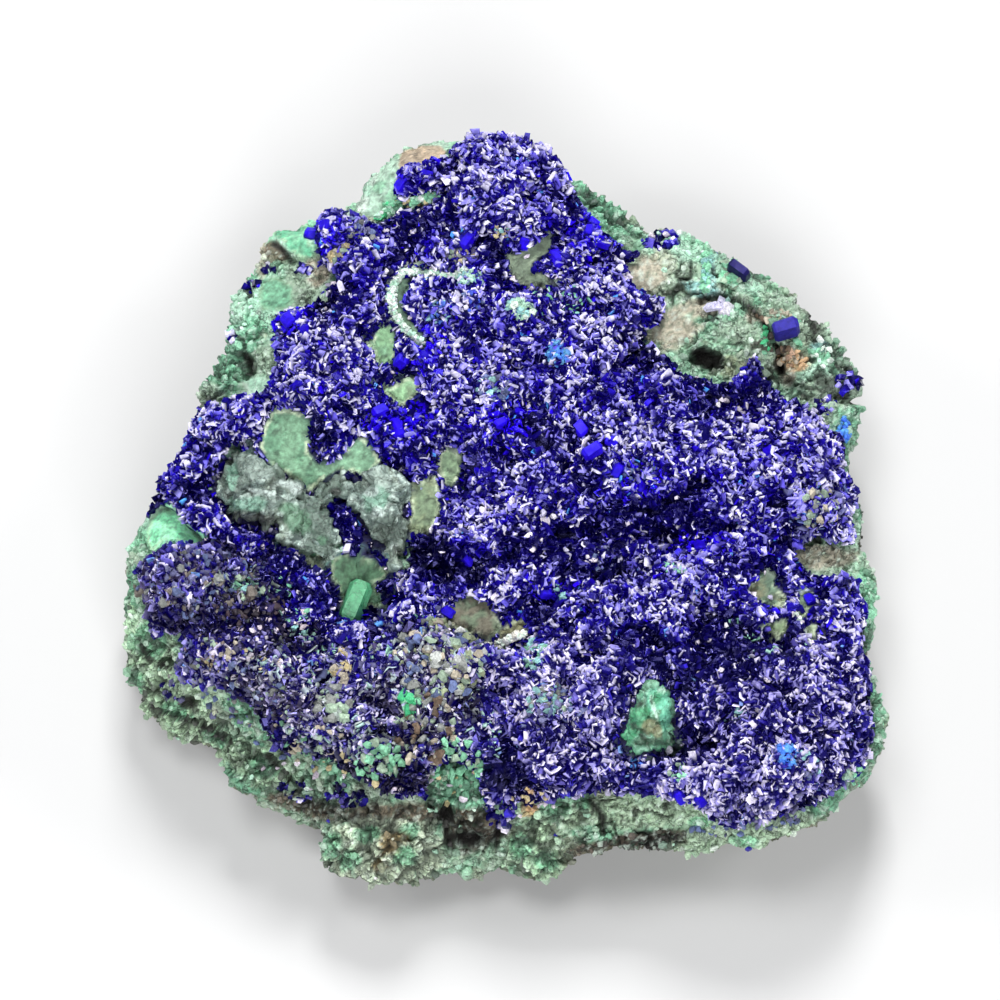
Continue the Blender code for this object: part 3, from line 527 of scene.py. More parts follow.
# Bare flats of the rock: how much pale rim they have, two tones, and their outline.
FLATS = (
    (0.8, colour(123, 166, 134), colour(106, 153, 121), (
        (272, 412), (290, 409), (310, 419), (307, 450), (317, 462), (335, 464), (350, 445), (360, 436),
        (372, 447), (380, 461), (375, 467), (365, 477), (352, 471), (336, 470), (325, 477), (310, 491),
        (285, 472), (272, 465), (260, 447), (265, 427))),
    (0.7, colour(138, 153, 119), colour(117, 138, 109), (
        (410, 482), (424, 480), (436, 476), (440, 500), (438, 518), (428, 532), (414, 534), (408, 528),
        (412, 510), (410, 496))),
    (0.7, colour(122, 147, 115), colour(109, 133, 106), (
        (440, 452), (452, 446), (462, 456), (460, 474), (452, 486), (444, 482), (438, 468))),
    (0.3, colour(56, 92, 69), colour(71, 108, 80), (
        (331, 560), (342, 555), (360, 556), (374, 560), (388, 572), (384, 580), (374, 582), (380, 596),
        (388, 608), (370, 606), (356, 616), (344, 608), (340, 592), (332, 576))),
    (0.3, colour(110, 126, 105), colour(97, 114, 95), (
        (548, 231), (552, 238), (551, 249), (531, 263), (531, 271), (554, 278), (560, 281), (550, 286),
        (536, 288), (520, 284), (510, 271), (505, 260), (508, 254), (518, 255), (529, 247), (538, 238))),
    (0.7, colour(126, 168, 126), colour(114, 156, 121), (
        (380, 328), (392, 326), (394, 345), (394, 362), (378, 364), (374, 352), (363, 344), (374, 338))),
    (0.6, colour(129, 155, 120), colour(141, 183, 139), (
        (383, 382), (392, 388), (402, 380), (412, 377), (417, 384), (419, 392), (410, 400), (402, 406),
        (394, 402), (384, 394))),
    (0.3, colour(101, 117, 94), colour(107, 104, 88), (
        (469, 594), (481, 600), (493, 606), (494, 614), (501, 625), (500, 631), (493, 638), (483, 640),
        (478, 634), (470, 632), (458, 630), (447, 624), (441, 618), (447, 609), (459, 601))),
    (0.4, colour(120, 120, 89), colour(133, 132, 101), (
        (500, 632), (505, 628), (513, 621), (522, 618), (527, 629), (522, 631), (510, 634), (499, 638))),
    (0.8, colour(101, 128, 106), colour(123, 125, 98), (
        (768, 570), (778, 573), (774, 580), (774, 586), (780, 592), (788, 599), (787, 603), (780, 604),
        (775, 608), (767, 604), (757, 604), (756, 600), (747, 594), (747, 589), (755, 582), (760, 574))),
    (0.8, colour(108, 131, 106), colour(98, 120, 98), (
        (800, 590), (812, 592), (812, 602), (807, 612), (802, 620), (797, 616), (795, 612), (798, 607))),
    (0.8, colour(118, 141, 105), colour(131, 151, 115), (
        (760, 627), (766, 622), (774, 624), (777, 620), (787, 620), (787, 627), (785, 634), (779, 637),
        (778, 640), (775, 635), (770, 633), (768, 629))),
    (0.7, colour(121, 141, 106), colour(111, 131, 101), (
        (806, 624), (816, 625), (815, 637), (817, 644), (812, 643), (806, 637), (803, 632))),
    (0.4, colour(144, 238, 185), colour(173, 254, 205), (
        (167, 503), (174, 506), (179, 512), (184, 521), (196, 527), (207, 537), (199, 544), (184, 544),
        (177, 541), (162, 541), (152, 554), (147, 541), (147, 532), (152, 518), (158, 512))),
    (0.4, colour(109, 193, 151), colour(138, 206, 166), (
        (262, 232), (277, 225), (310, 224), (309, 240), (315, 255), (302, 259), (292, 252), (285, 242),
        (275, 235))),
    (0.2, colour(119, 177, 143), colour(107, 165, 132), (
        (262, 280), (277, 277), (290, 285), (294, 302), (285, 310), (262, 310), (259, 295))),
    (0.0, colour(108, 138, 112), colour(84, 112, 92), (
        (395, 282), (404, 277), (411, 284), (404, 300), (407, 318), (419, 331), (427, 345), (419, 350),
        (407, 338), (397, 322), (393, 305))),
)
RIM_FLATS = FLATS + (     # with those outside the druse
    (0.0, colour(150, 200, 168), colour(180, 212, 190), (
        (366, 212), (372, 190), (380, 172), (392, 156), (406, 146), (424, 139), (446, 134), (470, 134),
        (480, 140), (462, 148), (446, 152), (440, 167), (424, 170), (410, 173), (400, 180), (395, 190),
        (394, 202), (400, 208), (394, 216), (380, 214), (372, 218))),
    (0.0, colour(196, 176, 150), colour(176, 160, 138), (
        (402, 152), (420, 146), (440, 146), (446, 152), (440, 163), (425, 167), (412, 172), (403, 174),
        (398, 166))),
)
HOLES = (               # pits in the druse, where nothing grows, their ground painted near black as shade
    (260, 521, 38, 7, 8), (674, 751, 17, 6, 0), (545, 444, 13, 7, 0), (566, 536, 20, 6, 0),
    (500, 780, 12, 9, 0), (250, 612, 16, 7, 0), (704, 742, 13, 5, 0), (716, 398, 18, 4, 8),
    (640, 352, 8, 6, 0), (596, 262, 9, 5, 0), (364, 780, 12, 5, 0), (648, 512, 14, 5, 0),
    (728, 652, 9, 6, 0), (432, 566, 12, 5, 0), (330, 300, 10, 5, 0), (700, 480, 12, 4, 10),
    (610, 640, 8, 5, 0), (500, 352, 7, 5, 0), (780, 505, 12, 5, 0), (690, 690, 9, 5, 0))
SMOOTH_FLATS = (        # where the rock's skin is even and fine, besides the flats
    (400, 160, 40, 24, -25), (372, 196, 20, 26, -30), (165, 524, 26, 20, 0), (672, 322, 28, 22, -10),
    (644, 274, 20, 16, 0), (288, 238, 30, 18, 0), (278, 294, 22, 22, 0), (258, 388, 20, 16, 0))
KNOBBLY = (             # where the rock is a heap of small plates and knobs with gaps painted dark as shade
    (382, 846, 70, 50, 0), (537, 852, 36, 34, 0), (148, 684, 34, 66, 20), (206, 738, 60, 22, 30),
    (250, 768, 30, 24, 0), (458, 800, 40, 40, 0), (300, 790, 50, 18, 20), (570, 812, 26, 16, 0),
    (870, 690, 14, 60, 0), (735, 250, 60, 14, 35), (840, 350, 40, 14, 55), (820, 385, 40, 16, 0),
    (610, 205, 50, 16, 35), (225, 350, 30, 30, 0), (205, 400, 24, 10, 0))
CRACK_REACH = 5.0                      # how far a crack shows to each side, in grid units
CRESCENT_REACH = 8.0                   # and the crescent
CLEAR_OF_FLATS = 1.2                   # how far crystals stay off a flat
FLAT_RISE = 1.0 * MM                   # of the flats and what lies round them, in the windows
HIGHEST_PUSH = 0.24 * MM               # of the rock's skin, so that no knob sticks out
ROCK_VOXEL = 0.63 * MM
UNDERSIDE = 0.25 * MM                  # up to this height the rock's skin is only pushed inwards
RESTING = 0.02 * MM                    # up to this height it stays on the floor
SMOOTH_BELOW = 0.6                     # roughness under which the rock's faces are shaded smooth


def flats_at(u, v, flats=FLATS):
    """For each flat, how far points are inside it."""
    return [inside(u, v, outline) for _, _, _, outline in flats]


def flats_painted(tones, points, amount, flats=FLATS):
    """The tones with the flats' own laid over them, each with specks and a broken pale rim."""
    u, v = on_grid(points)
    broad, small = cloud(points, 2.4 * MM, 3.0), cloud(points, 0.7 * MM, 9.0)
    tiny = cloud(points, 0.3 * MM, 13.0, 2)
    speck = ramp(0.3, 0.55, cloud(points, 0.45 * MM, 43.0, 2)) * 0.55
    split = cracks(points, 1.5 * MM, 0.05, 47.0) * 0.5
    blend = ramp(-0.2, 0.25, broad + 0.6 * small)[:, None]
    grain = ((1.0 + 0.5 * np.clip(tiny, -0.8, 0.8)) * (1.0 - np.maximum(speck, split)))[:, None]
    for (rim, first, second, _), gap in zip(flats, flats_at(u, v, flats)):
        own = (first + blend * (second - first)) * grain
        tones = mixed(tones, ramp(-1.5, 0.5, gap) * amount, own)
        edge = ramp(2.4, 0.8, np.abs(gap - 1.2)) * ramp(-0.4, 0.1, small) * rim * amount
        tones = mixed(tones, edge, CREAM)
    return tones


def off_bare(points):
    """Which places are off the flats, the ridges and the holes, where no crystals grow."""
    u, v = on_grid(points)
    on_ridge = np.max([ridge(u, v, line, 1.6 * stray + 2.0) for line, stray, _ in RIDGES], axis=0) > 0.5
    in_hole = np.max(marks(u, v, HOLES, 0.3 * cloud(points, 0.8 * MM, 37.0)), axis=0) > 0.5
    return (np.max(flats_at(u, v), axis=0) < -CLEAR_OF_FLATS) & ~on_ridge & ~in_hole


def rock_ground(points, broad, small):
    """The rock's own mottled greens and tans, before anything that has its own place."""
    tones = np.outer(np.ones(len(points)), GREY_GREEN)
    tones = mixed(tones, ramp(-0.1, 0.35, broad + 0.4 * small), MID_GREEN)
    tones = mixed(tones, ramp(0.1, 0.5, -broad + 0.5 * small) * 0.5, MINT)
    return mixed(tones, ramp(0.25, 0.55, cloud(points, 3.0 * MM, 21.0) + 0.3 * small) * 0.6, TAN)


def rock_darks(tones, u, v, wander, facing_up):
    """The rock's tones with its cracks and pits painted black as shade, and its ground between crystals
    painted dark navy as shade.
    """
    # Painted shade: cracks and pits near black.
    for line in CRACKS:
        tones = mixed(tones, ridge(u, v, line, CRACK_REACH) * 0.95, BLACK)
    for amount in marks(u, v, PITS, 0.5 * wander):
        tones = mixed(tones, amount * 0.97, BLACK)
    # Painted shade: dark navy ground between the crystals in the windows and moats.
    ground = np.max(marks(u, v, WINDOW_FLOORS + MOATS, 0.0), axis=0) * facing_up
    return mixed(tones, ground * (1.0 - ridge(u, v, CRESCENT, CRESCENT_REACH)), 0.5 * DEEP)


def rock_colours(points, normals, crease_shade, crown_highlight):
    """The painted colour of the rock's skin, with painted shade along its creases and on faces turned down,
    and painted highlights on its crowns.
    """
    u, v = on_grid(points)
    small = cloud(points, 0.9 * MM, 9.0)
    tiny = cloud(points, 0.35 * MM, 13.0, 2)
    tones = rock_ground(points, cloud(points, 5.0 * MM, 3.0), small)
    below = ramp(0.0, -0.6, normals[:, 2])
    facing_up = 1.0 - below
    wander = 0.34 * cloud(points, 1.3 * MM, 31.0) + 0.2 * small
    for tone, spots in ROCK_PATCHES:
        for amount in marks(u, v, spots, wander):
            tones = mixed(tones, amount * facing_up * 0.9, tone)
    for amount, tone in (
            # Painted shade: brown on faces turned sideways and down.
            (ramp(0.4, -0.1, normals[:, 2]) * ramp(0.0, 0.4, small) * 0.3, BROWN),
            (below * 0.75, BROWN),
            # Painted highlight on the crowns.
            (crown_highlight * ramp(-0.2, 0.3, small) * 0.5 * facing_up, PALE_MINT),
            (ramp(0.1, 0.5, tiny) * 0.55 * facing_up, WHITE_MINT),
            (ramp(0.2, 0.5, -tiny) * 0.55, DARK_GREEN),
            (ridge(u, v, CRESCENT, CRESCENT_REACH) * facing_up, WHITE_MINT)):
        tones = mixed(tones, amount, tone)
    # Painted shade along the creases.
    tones = tones * (1.0 - 0.88 * crease_shade)[:, None]
    tones = rock_darks(tones, u, v, wander, facing_up)
    return flats_painted(tones, points, facing_up, RIM_FLATS)


def rock_mesh_for_view():
    """The matrix's mesh, made four times finer where nothing covers it."""
    mesh = remeshed("matrix", ROCK_VOXEL)

    def bare(middles, facings):
        skyward = np.array([crust_tree.ray_cast(Vector(p), UP)[0] is None for p in middles])
        return skyward & (middles[:, 2] > WALL_FOOT) & (facings[:, 2] > -0.6)

    refine(mesh, bare)
    refine(mesh, bare)
    return mesh


def rock_push(points, normals):
    """How far the rock's skin stands out at each point, how much painted shade it gets as a crease
    and painted highlight as a crown there, and how rough it is. Lengths are in metres and everything else
    is a share."""
    u, v = on_grid(points)
    facing = ramp(0.3, 0.8, normals[:, 2])
    smooth_spots = np.max(marks(u, v, SMOOTH_FLATS, 0.15 * cloud(points, 1.5 * MM, 5.0)), axis=0)
    on_flat = ramp(-1.0, 1.5, np.max(flats_at(u, v, RIM_FLATS), axis=0))
    flat = np.maximum(0.75 * smooth_spots, on_flat) * facing
    rough = 1.0 - 0.85 * flat
    knobbly = np.max(marks(u, v, KNOBBLY, 0.2 * cloud(points, 1.5 * MM, 15.0)), axis=0)
    big, big_gap = cells(warped(points, 1.6 * MM, 3.0), 1.7 * MM, 2.0)
    small, small_gap = cells(warped(points, 0.7 * MM, 5.0), 0.75 * MM, 4.0)
    splits, fine_splits = cracks(points, 2.2 * MM, 0.09, 19.0), cracks(points, 0.9 * MM, 0.12, 29.0)
    gaps = np.maximum(ramp(0.26, 0.05, big_gap), 0.7 * ramp(0.2, 0.05, small_gap)) * knobbly
    # Knobs of two sizes with flattened tops, facets of two sizes and a grain, cut by splits and gaps.
    push = 0.62 * MM * np.minimum(0.36 - big ** 2, 0.24)
    push += (0.26 + 0.12 * knobbly) * MM * np.minimum(0.3 - small ** 2, 0.15)
    push += 0.26 * MM * facets(points, 0.9 * MM, 7.0) + 0.1 * MM * facets(points, 0.45 * MM, 17.0)
    push += 0.1 * MM * cloud(points, 0.4 * MM, 8.0)
    push -= 0.4 * MM * splits + 0.18 * MM * fine_splits + 0.28 * MM * gaps
    push = np.minimum(push, HIGHEST_PUSH) * rough + 0.12 * MM * facets(points, 1.1 * MM, 27.0) * flat
    push += ridge(u, v, CRESCENT, 7.0) * 0.4 * MM * facing
    push += FLAT_RISE * np.max(marks(u, v, WINDOW_FLOORS, 0.0), axis=0) * facing
    for line in CRACKS:
        push -= 0.7 * MM * ridge(u, v, line, CRACK_REACH) * rough
    push -= 1.1 * MM * np.max(marks(u, v, PITS, 0.35 * cloud(points, 0.9 * MM, 33.0)), axis=0)
    # The creases get painted shade, the crowns a painted highlight.
    crease_shade = np.maximum.reduce([0.95 * splits, 0.6 * fine_splits, 0.92 * gaps]) * rough
    crown_highlight = ramp(0.4, 0.15, small) * rough
    return push, crease_shade, crown_highlight, rough


def make_rock():
    """The rock's skin: remeshed, roughened, painted, and left flat below."""
    mesh = rock_mesh_for_view()
    points, normals = points_of(mesh), normals_of(mesh)
    push, crease_shade, crown_highlight, rough = rock_push(points, normals)
    low = points[:, 2] < UNDERSIDE
    push[low] = np.minimum(push[low], 0.0) * 0.5
    moved = points + normals * push[:, None]
    moved[:, 2] = np.maximum(moved[:, 2], 0.0)
    moved[points[:, 2] < RESTING, 2] = 0.0
    move_points(mesh, moved)
    tint(mesh, rock_colours(moved, normals, crease_shade, crown_highlight), ramp(0.1, 0.8, rough))
    mesh.polygons.foreach_set("use_smooth", rough[first_corners(mesh)] < SMOOTH_BELOW)
    mesh.materials.append(rock_skin)
    put("rock_skin", mesh, stands_for=("matrix",))
    return mesh


# ---------------------------------------------------------------- crystals
# Each shape stands on z = 0 and is a unit long, broad and high: a box, whose foot is left open,
# a roof-like blade with the same faces, and a pair of blades grown together.
BOX = np.array([(-1, -1, 0), (1, -1, 0), (1, 1, 0), (-1, 1, 0),
                (-0.8, -0.7, 1), (0.62, -0.8, 1), (0.7, 0.7, 1), (-0.66, 0.8, 1)], float)
BOX *= (0.5, 0.5, 1.0)
BOX_FACES = np.array([(4, 5, 6, 7), (0, 1, 5, 4), (1, 2, 6, 5), (2, 3, 7, 6), (3, 0, 4, 7)])
ROOF = np.array([(-1, -1, 0), (1, -1, 0), (1, 1, 0), (-1, 1, 0),
                 (-0.8, -0.28, 1), (0.66, -0.24, 0.9), (0.66, 0.24, 0.9), (-0.8, 0.28, 1)], float)
ROOF *= (0.5, 0.5, 1.0)
# The pair's three cross-sections, of four corners each, are set at an angle to each other.
PAIR = np.array([(x, shift + side * (0.5 if z == 0 else 0.14), z * top)
                 for x, shift, top in ((-0.5, -0.5, 0.9), (0.0, 0.5, 1.0), (0.5, -0.4, 0.85))
                 for side, z in ((-1, 0), (-1, 1), (1, 1), (1, 0))], float)
PAIR_FACES = np.array([(1, 0, 4, 5), (2, 1, 5, 6), (3, 2, 6, 7), (5, 4, 8, 9), (6, 5, 9, 10),
                       (7, 6, 10, 11), (0, 1, 2, 3), (11, 10, 9, 8)])


def hexagon_prism():
    """A six-sided crystal that lies along X, with slanted ends, as corners and four-sided faces."""
    around = ((0.5, 0.0), (0.28, 0.5), (-0.3, 0.46), (-0.5, 0.0), (-0.26, -0.5), (0.3, -0.48))
    ends = ((-0.5, 0.7), (-0.38, 1.0), (0.34, 1.0), (0.5, 0.55))
    corners = [(x, y * swell, 0.5 + z * swell) for x, swell in ends for y, z in around]
    faces = []
    for ring in range(3):
        for i in range(6):
            a, b = ring * 6 + i, ring * 6 + (i + 1) % 6
            faces.append((b, a, a + 6, b + 6))
    faces += [(0, 1, 2, 3), (0, 3, 4, 5), (21, 20, 19, 18), (23, 22, 21, 18)]
    return np.array(corners), np.array(faces)


def round_grain():
    """A grain of twenty sides, half a unit in radius, standing on z = 0."""
    work = bmesh.new()
    bmesh.ops.create_icosphere(work, subdivisions=1, radius=0.5)
    corners = np.array([corner.co[:] for corner in work.verts]) + (0.0, 0.0, 0.5)
    faces = np.array([[corner.index for corner in face.verts] for face in work.faces])
    work.free()
    return corners, faces


HEXAGON, HEXAGON_FACES = hexagon_prism()
GRAIN, GRAIN_FACES = round_grain()


def unit(vectors):
    """The vectors made one unit long."""
    return vectors / np.maximum(np.linalg.norm(vectors, axis=1), 1e-12)[:, None]


def crystal_frames(normals, lean, spin):
    """Three axes for each crystal: its up leans off the surface's normal, and it is spun about it."""
    count = len(normals)
    up = unit(normals + lean[:, None] * unit(rng.normal(size=(count, 3))))
    side = unit(np.cross(up, np.where(np.abs(up[:, :1]) < 0.8, (1.0, 0.0, 0.0), (0.0, 1.0, 0.0))))
    front = np.cross(up, side)
    along = side * np.cos(spin)[:, None] + front * np.sin(spin)[:, None]
    return np.stack([along, np.cross(up, along), up], axis=2)


def crystal_mesh(name, form, seats, frames, sizes, sink, tips, feet, wobble):
    """Many crystals of one form in one mesh, each sunk by a share of its height, with its own
    corners shaken a little, one colour at its tip and one at its foot."""
    shape, faces = form
    count, corners = len(seats), len(shape)
    local = shape[None] + rng.normal(0.0, wobble, (count, corners, 3))
    local = local * sizes[:, None, :]
    local[:, :, 2] -= (sink * sizes[:, 2])[:, None]
    world = np.einsum("nij,nkj->nki", frames, local) + seats[:, None, :]
    world[:, :, 2] = np.clip(world[:, :, 2], 0.0, CAD_BOX[1].z + TOP_SPARE)
    indices = (faces[None] + (np.arange(count) * corners)[:, None, None]).reshape(-1, faces.shape[1])
    mesh = bpy.data.meshes.new(name)
    mesh.from_pydata(world.reshape(-1, 3), [], indices)
    heights = np.tile(np.clip(shape[:, 2], 0.0, 1.0), count)
    tint(mesh, np.repeat(tips, corners, axis=0), heights)
    tint(mesh, np.repeat(feet, corners, axis=0), name="foot")
    return mesh


# Zones of the druse, where its crystals are dusty, darkened by painted shade, lit by painted light,
# vivid (partly painted light through them), dull or partly green: spots of (u, v, reach across, reach down,
# turn).
DUST_ZONES = (
    (188, 590, 74, 48, 0), (230, 680, 80, 46, 0), (340, 700, 60, 50, 0), (430, 670, 66, 56, 0),
    (360, 760, 90, 30, 0), (545, 700, 36, 30, 0), (740, 810, 80, 26, -5), (820, 515, 44, 34, 0))
SHADE_ZONES = (
    (560, 545, 64, 22, 0), (600, 570, 60, 16, 10), (660, 520, 60, 26, 0), (720, 398, 60, 16, 5),
    (340, 540, 60, 16, 0), (726, 650, 46, 36, 0), (250, 612, 44, 20, 0), (330, 300, 26, 26, 0),
    (370, 776, 60, 18, 0), (505, 770, 24, 18, 0), (690, 742, 36, 16, 0), (540, 430, 40, 14, 20),
    (430, 560, 60, 22, 0), (640, 352, 20, 26, 0), (585, 440, 20, 26, 0), (290, 560, 40, 12, 10),
    (350, 522, 24, 44, 0), (672, 752, 26, 10, 0), (545, 444, 16, 8, 0), (352, 590, 44, 30, 0),
    (190, 622, 50, 12, 10), (300, 640, 36, 14, 0), (250, 722, 40, 12, 25), (262, 596, 34, 24, 0),
    (400, 736, 30, 10, 0), (470, 700, 12, 30, 0), (320, 752, 40, 8, 10), (640, 640, 30, 12, 0))
LIT_ZONES = (
    (500, 175, 62, 44, 0), (330, 360, 50, 46, 0), (610, 320, 60, 60, 0), (600, 430, 60, 30, 0),
    (790, 450, 62, 46, 0), (670, 585, 60, 34, 0), (545, 680, 44, 50, 0), (750, 780, 90, 50, 0),
    (480, 380, 50, 50, 0), (830, 660, 30, 60, 0), (690, 440, 60, 24, 0), (240, 430, 40, 36, 0),
    (460, 300, 60, 20, 0), (590, 740, 60, 36, 0), (470, 520, 60, 20, 0), (215, 432, 44, 24, 0))
VIVID_ZONES = (
    (400, 420, 38, 22, 0), (330, 240, 20, 20, 0), (432, 350, 22, 22, 0), (290, 320, 26, 16, 0),
    (590, 235, 26, 18, 0), (640, 480, 30, 18, 0), (546, 590, 22, 12, 0), (500, 420, 30, 22, 0),
    (700, 545, 30, 12, 0), (680, 800, 20, 16, 0))
DULL_ZONES = (
    (196, 590, 76, 50, 0), (256, 640, 50, 30, 0), (370, 776, 60, 16, 0), (280, 700, 60, 26, 20),
    (424, 690, 50, 60, 0))
GREEN_ZONES = (
    (424, 670, 60, 50, 0), (250, 590, 40, 20, 0), (340, 735, 60, 22, 0), (460, 740, 50, 40, 0),
    (535, 655, 14, 14, 0), (760, 640, 40, 20, 0), (560, 300, 30, 18, 0), (290, 660, 50, 40, 0))


CLUSTER = 2.0 * MM                     # how far apart the clusters of crystals are
CLUSTER_SEED = 6.0                     # shared by the ground's lumps and the painted shade between clusters
LUMINANCE = np.array((0.21, 0.72, 0.07))
GREYED = (1.1, 1.0, 1.3)               # the cast of crystals that are partly greyed
BRIGHTEST = 0.95                       # of any crystal's or grain's colour


def own_blues(patch, dark, pit):
    """Each crystal's own blue, from deep to royal, darker as painted shade in the dark zones and between
    clusters.
    """
    lift = np.clip(rng.random(len(patch)) ** 1.7 + 0.5 * patch, 0.0, 1.0)
    tones = DEEP + (ROYAL - DEEP) * lift[:, None]
    return tones * ((1.0 - 0.65 * dark) * (1.0 - 0.75 * pit))[:, None]


def recolour(tones, choices):
    """Gives some crystals another tone. Each choice is the chance of it, the tone, and how dim and
    how bright it comes out; a later choice goes over an earlier one."""
    for chance, tone, low, high in choices:
        chosen = rng.random(len(tones)) < chance
        tones[chosen] = tone * rng.uniform(low, high, (chosen.sum(), 1))


def druse_colours(points, pale):
    """A colour for each crystal's tip and foot, by the zone that it grows in and by chance, with painted
    light and shade.
    """
    u, v = on_grid(points)
    wander = 0.35 * cloud(points, 1.3 * MM, 17.0)
    dust, dark, lit, vivid, green, dull = (
        np.max(marks(u, v, zones, wander), axis=0)
        for zones in (DUST_ZONES, SHADE_ZONES, LIT_ZONES, VIVID_ZONES, GREEN_ZONES, DULL_ZONES))
    patch = cloud(points, 1.1 * MM, 41.0)
    clump = ramp(-0.25, 0.3, cloud(points, 0.75 * MM, 61.0))
    # Painted shade in the hollows between clusters.
    pit = ramp(0.44, 0.74, cells(points, CLUSTER, CLUSTER_SEED)[0]) * (1.0 - 0.4 * lit)
    tones = own_blues(patch, dark, pit)
    # Each foot painted darker than its tip, as shade low between the crystals.
    feet = 0.3 * tones + 0.2 * DEEP
    # Painted light: how many crystals get pale tips, more in the lit zones, fewer in the shade and between
    # clusters.
    shine = np.clip(0.84 + 0.8 * lit - 0.7 * dark - 0.4 * vivid - 0.45 * dull, 0.06, 1.6)
    shine *= 0.25 + clump
    shine *= 1.0 - 0.85 * pit
    mint = 0.2 * green * ramp(-0.2, 0.3, cloud(points, 1.2 * MM, 77.0))
    recolour(tones, (
        (0.03 + 0.55 * vivid - 0.03 * dark, VIVID, 0.75, 1.15),
        (0.5 * dust * ramp(-0.3, 0.3, patch), DUSTY, 0.5, 1.15),
        (0.3 * dust * ramp(0.1, -0.4, patch), STEEL, 0.5, 1.15),
        (0.5 * dull, DULL, 0.3, 1.8),
        # Pale tips: partly the crystals' pale edges, partly painted glints.
        (0.34 * shine, IRIS, 0.6, 1.1),
        (1.15 * pale * shine, LAVENDER, 0.7, 1.1),
        (pale * shine, WHITE_AND_GLINT, 0.75, 1.1),
        (mint, MINT, 0.75, 1.15),
        (0.2 * green * dust, GREY_GREEN, 0.75, 1.15),
        (0.003, SKY, 0.75, 1.15),
        (0.006, SHELL, 0.75, 1.15)))
    # Dusty and dull crystals darker still in the painted shade of the dark zones.
    tones *= (1.0 - 0.65 * dark * np.maximum(dust, dull))[:, None]
    grey = 0.4 * ramp(590.0, 700.0, v) + 0.3 * dull
    tones = mixed(tones, grey, tones @ LUMINANCE[:, None] * GREYED)
    return np.minimum(tones, BRIGHTEST), feet


def over_druse(places):
    """Which places have the CAD's druse under or over them."""
    found = [crust_tree.ray_cast(Vector((x, y, 0.1)), -UP)[0] for x, y, _ in places]
    return np.array([place is not None for place in found])


def bare_above(point):
    """Whether nothing of the druse's ground stands over a point of the rock."""
    hit, _, _, _ = druse_tree.ray_cast(point, UP)
    return hit is None


def seats_on(mesh, count):
    """Even random places on a mesh where it faces up or sideways, with its normals there."""
    mesh.calc_loop_triangles()
    corners = np.empty(len(mesh.loop_triangles) * 3, dtype=np.int64)
    mesh.loop_triangles.foreach_get("vertices", corners)
    corners = corners.reshape(-1, 3)
    points, normals = points_of(mesh), normals_of(mesh)
    a, b, c = (points[corners[:, i]] for i in range(3))
    cross = np.cross(b - a, c - a)
    area = np.linalg.norm(cross, axis=1)
    area[unit(cross)[:, 2] < -0.15] = 0.0
    chosen = rng.choice(len(area), count, p=area / area.sum())
    first, second = rng.random(count), rng.random(count)
    over = first + second > 1.0
    first[over], second[over] = 1.0 - first[over], 1.0 - second[over]
    weights = np.column_stack([1.0 - first - second, first, second])[:, :, None]
    return (points[corners[chosen]] * weights).sum(1), unit((normals[corners[chosen]] * weights).sum(1))


# Each kind's corners and faces, its lean off the surface's normal, and its length, breadth and
# height as shares of its size.
KINDS = {
    "blade": (ROOF, BOX_FACES, (0.1, 0.9), (0.6, 1.1), (0.26, 0.56), (0.6, 1.0)),
    "pair": (PAIR, PAIR_FACES, (0.1, 0.6), (0.7, 1.1), (0.24, 0.44), (0.5, 0.9)),
    "block": (BOX, BOX_FACES, (0.0, 0.9), (0.7, 1.1), (0.5, 0.9), (0.5, 0.9)),
    "prism": (HEXAGON, HEXAGON_FACES, (0.0, 0.7), (0.9, 1.3), (0.5, 0.75), (0.5, 0.8)),
}


def crystals(name, kind, seats, normals, low, high, pale, overhang=0.4):
    """A piece of azurite crystals of one kind, low to high in size, with a share of pale ones. With
    an overhang, only those stay that stand off the bare ground and have the druse at both sides, that
    share of their length away."""
    shape, faces, lean, *reaches = KINDS[kind]
    count = len(seats)
    turn = 3.0 * cloud(seats, 1.6 * MM, 55.0) + rng.uniform(-1.1, 1.1, count)      # neighbours align
    size = low * (high / low) ** (rng.random(count) ** 1.4)
    sizes = size[:, None] * np.column_stack([rng.uniform(*reach, count) for reach in reaches])
    frames = crystal_frames(normals, rng.uniform(*lean, count), turn)
    if overhang is not None:
        half = frames[:, :, 0] * sizes[:, :1] * overhang
        kept = over_druse(seats + half) & over_druse(seats - half) & off_bare(seats)
        seats, frames, sizes = seats[kept], frames[kept], sizes[kept]
    tips, feet = druse_colours(seats, pale)
    mesh = crystal_mesh(
        name, (shape, faces), seats, frames, sizes, sink=0.3, tips=tips, feet=feet, wobble=0.11)
    mesh.materials.append(azurite)
    put(name, mesh)


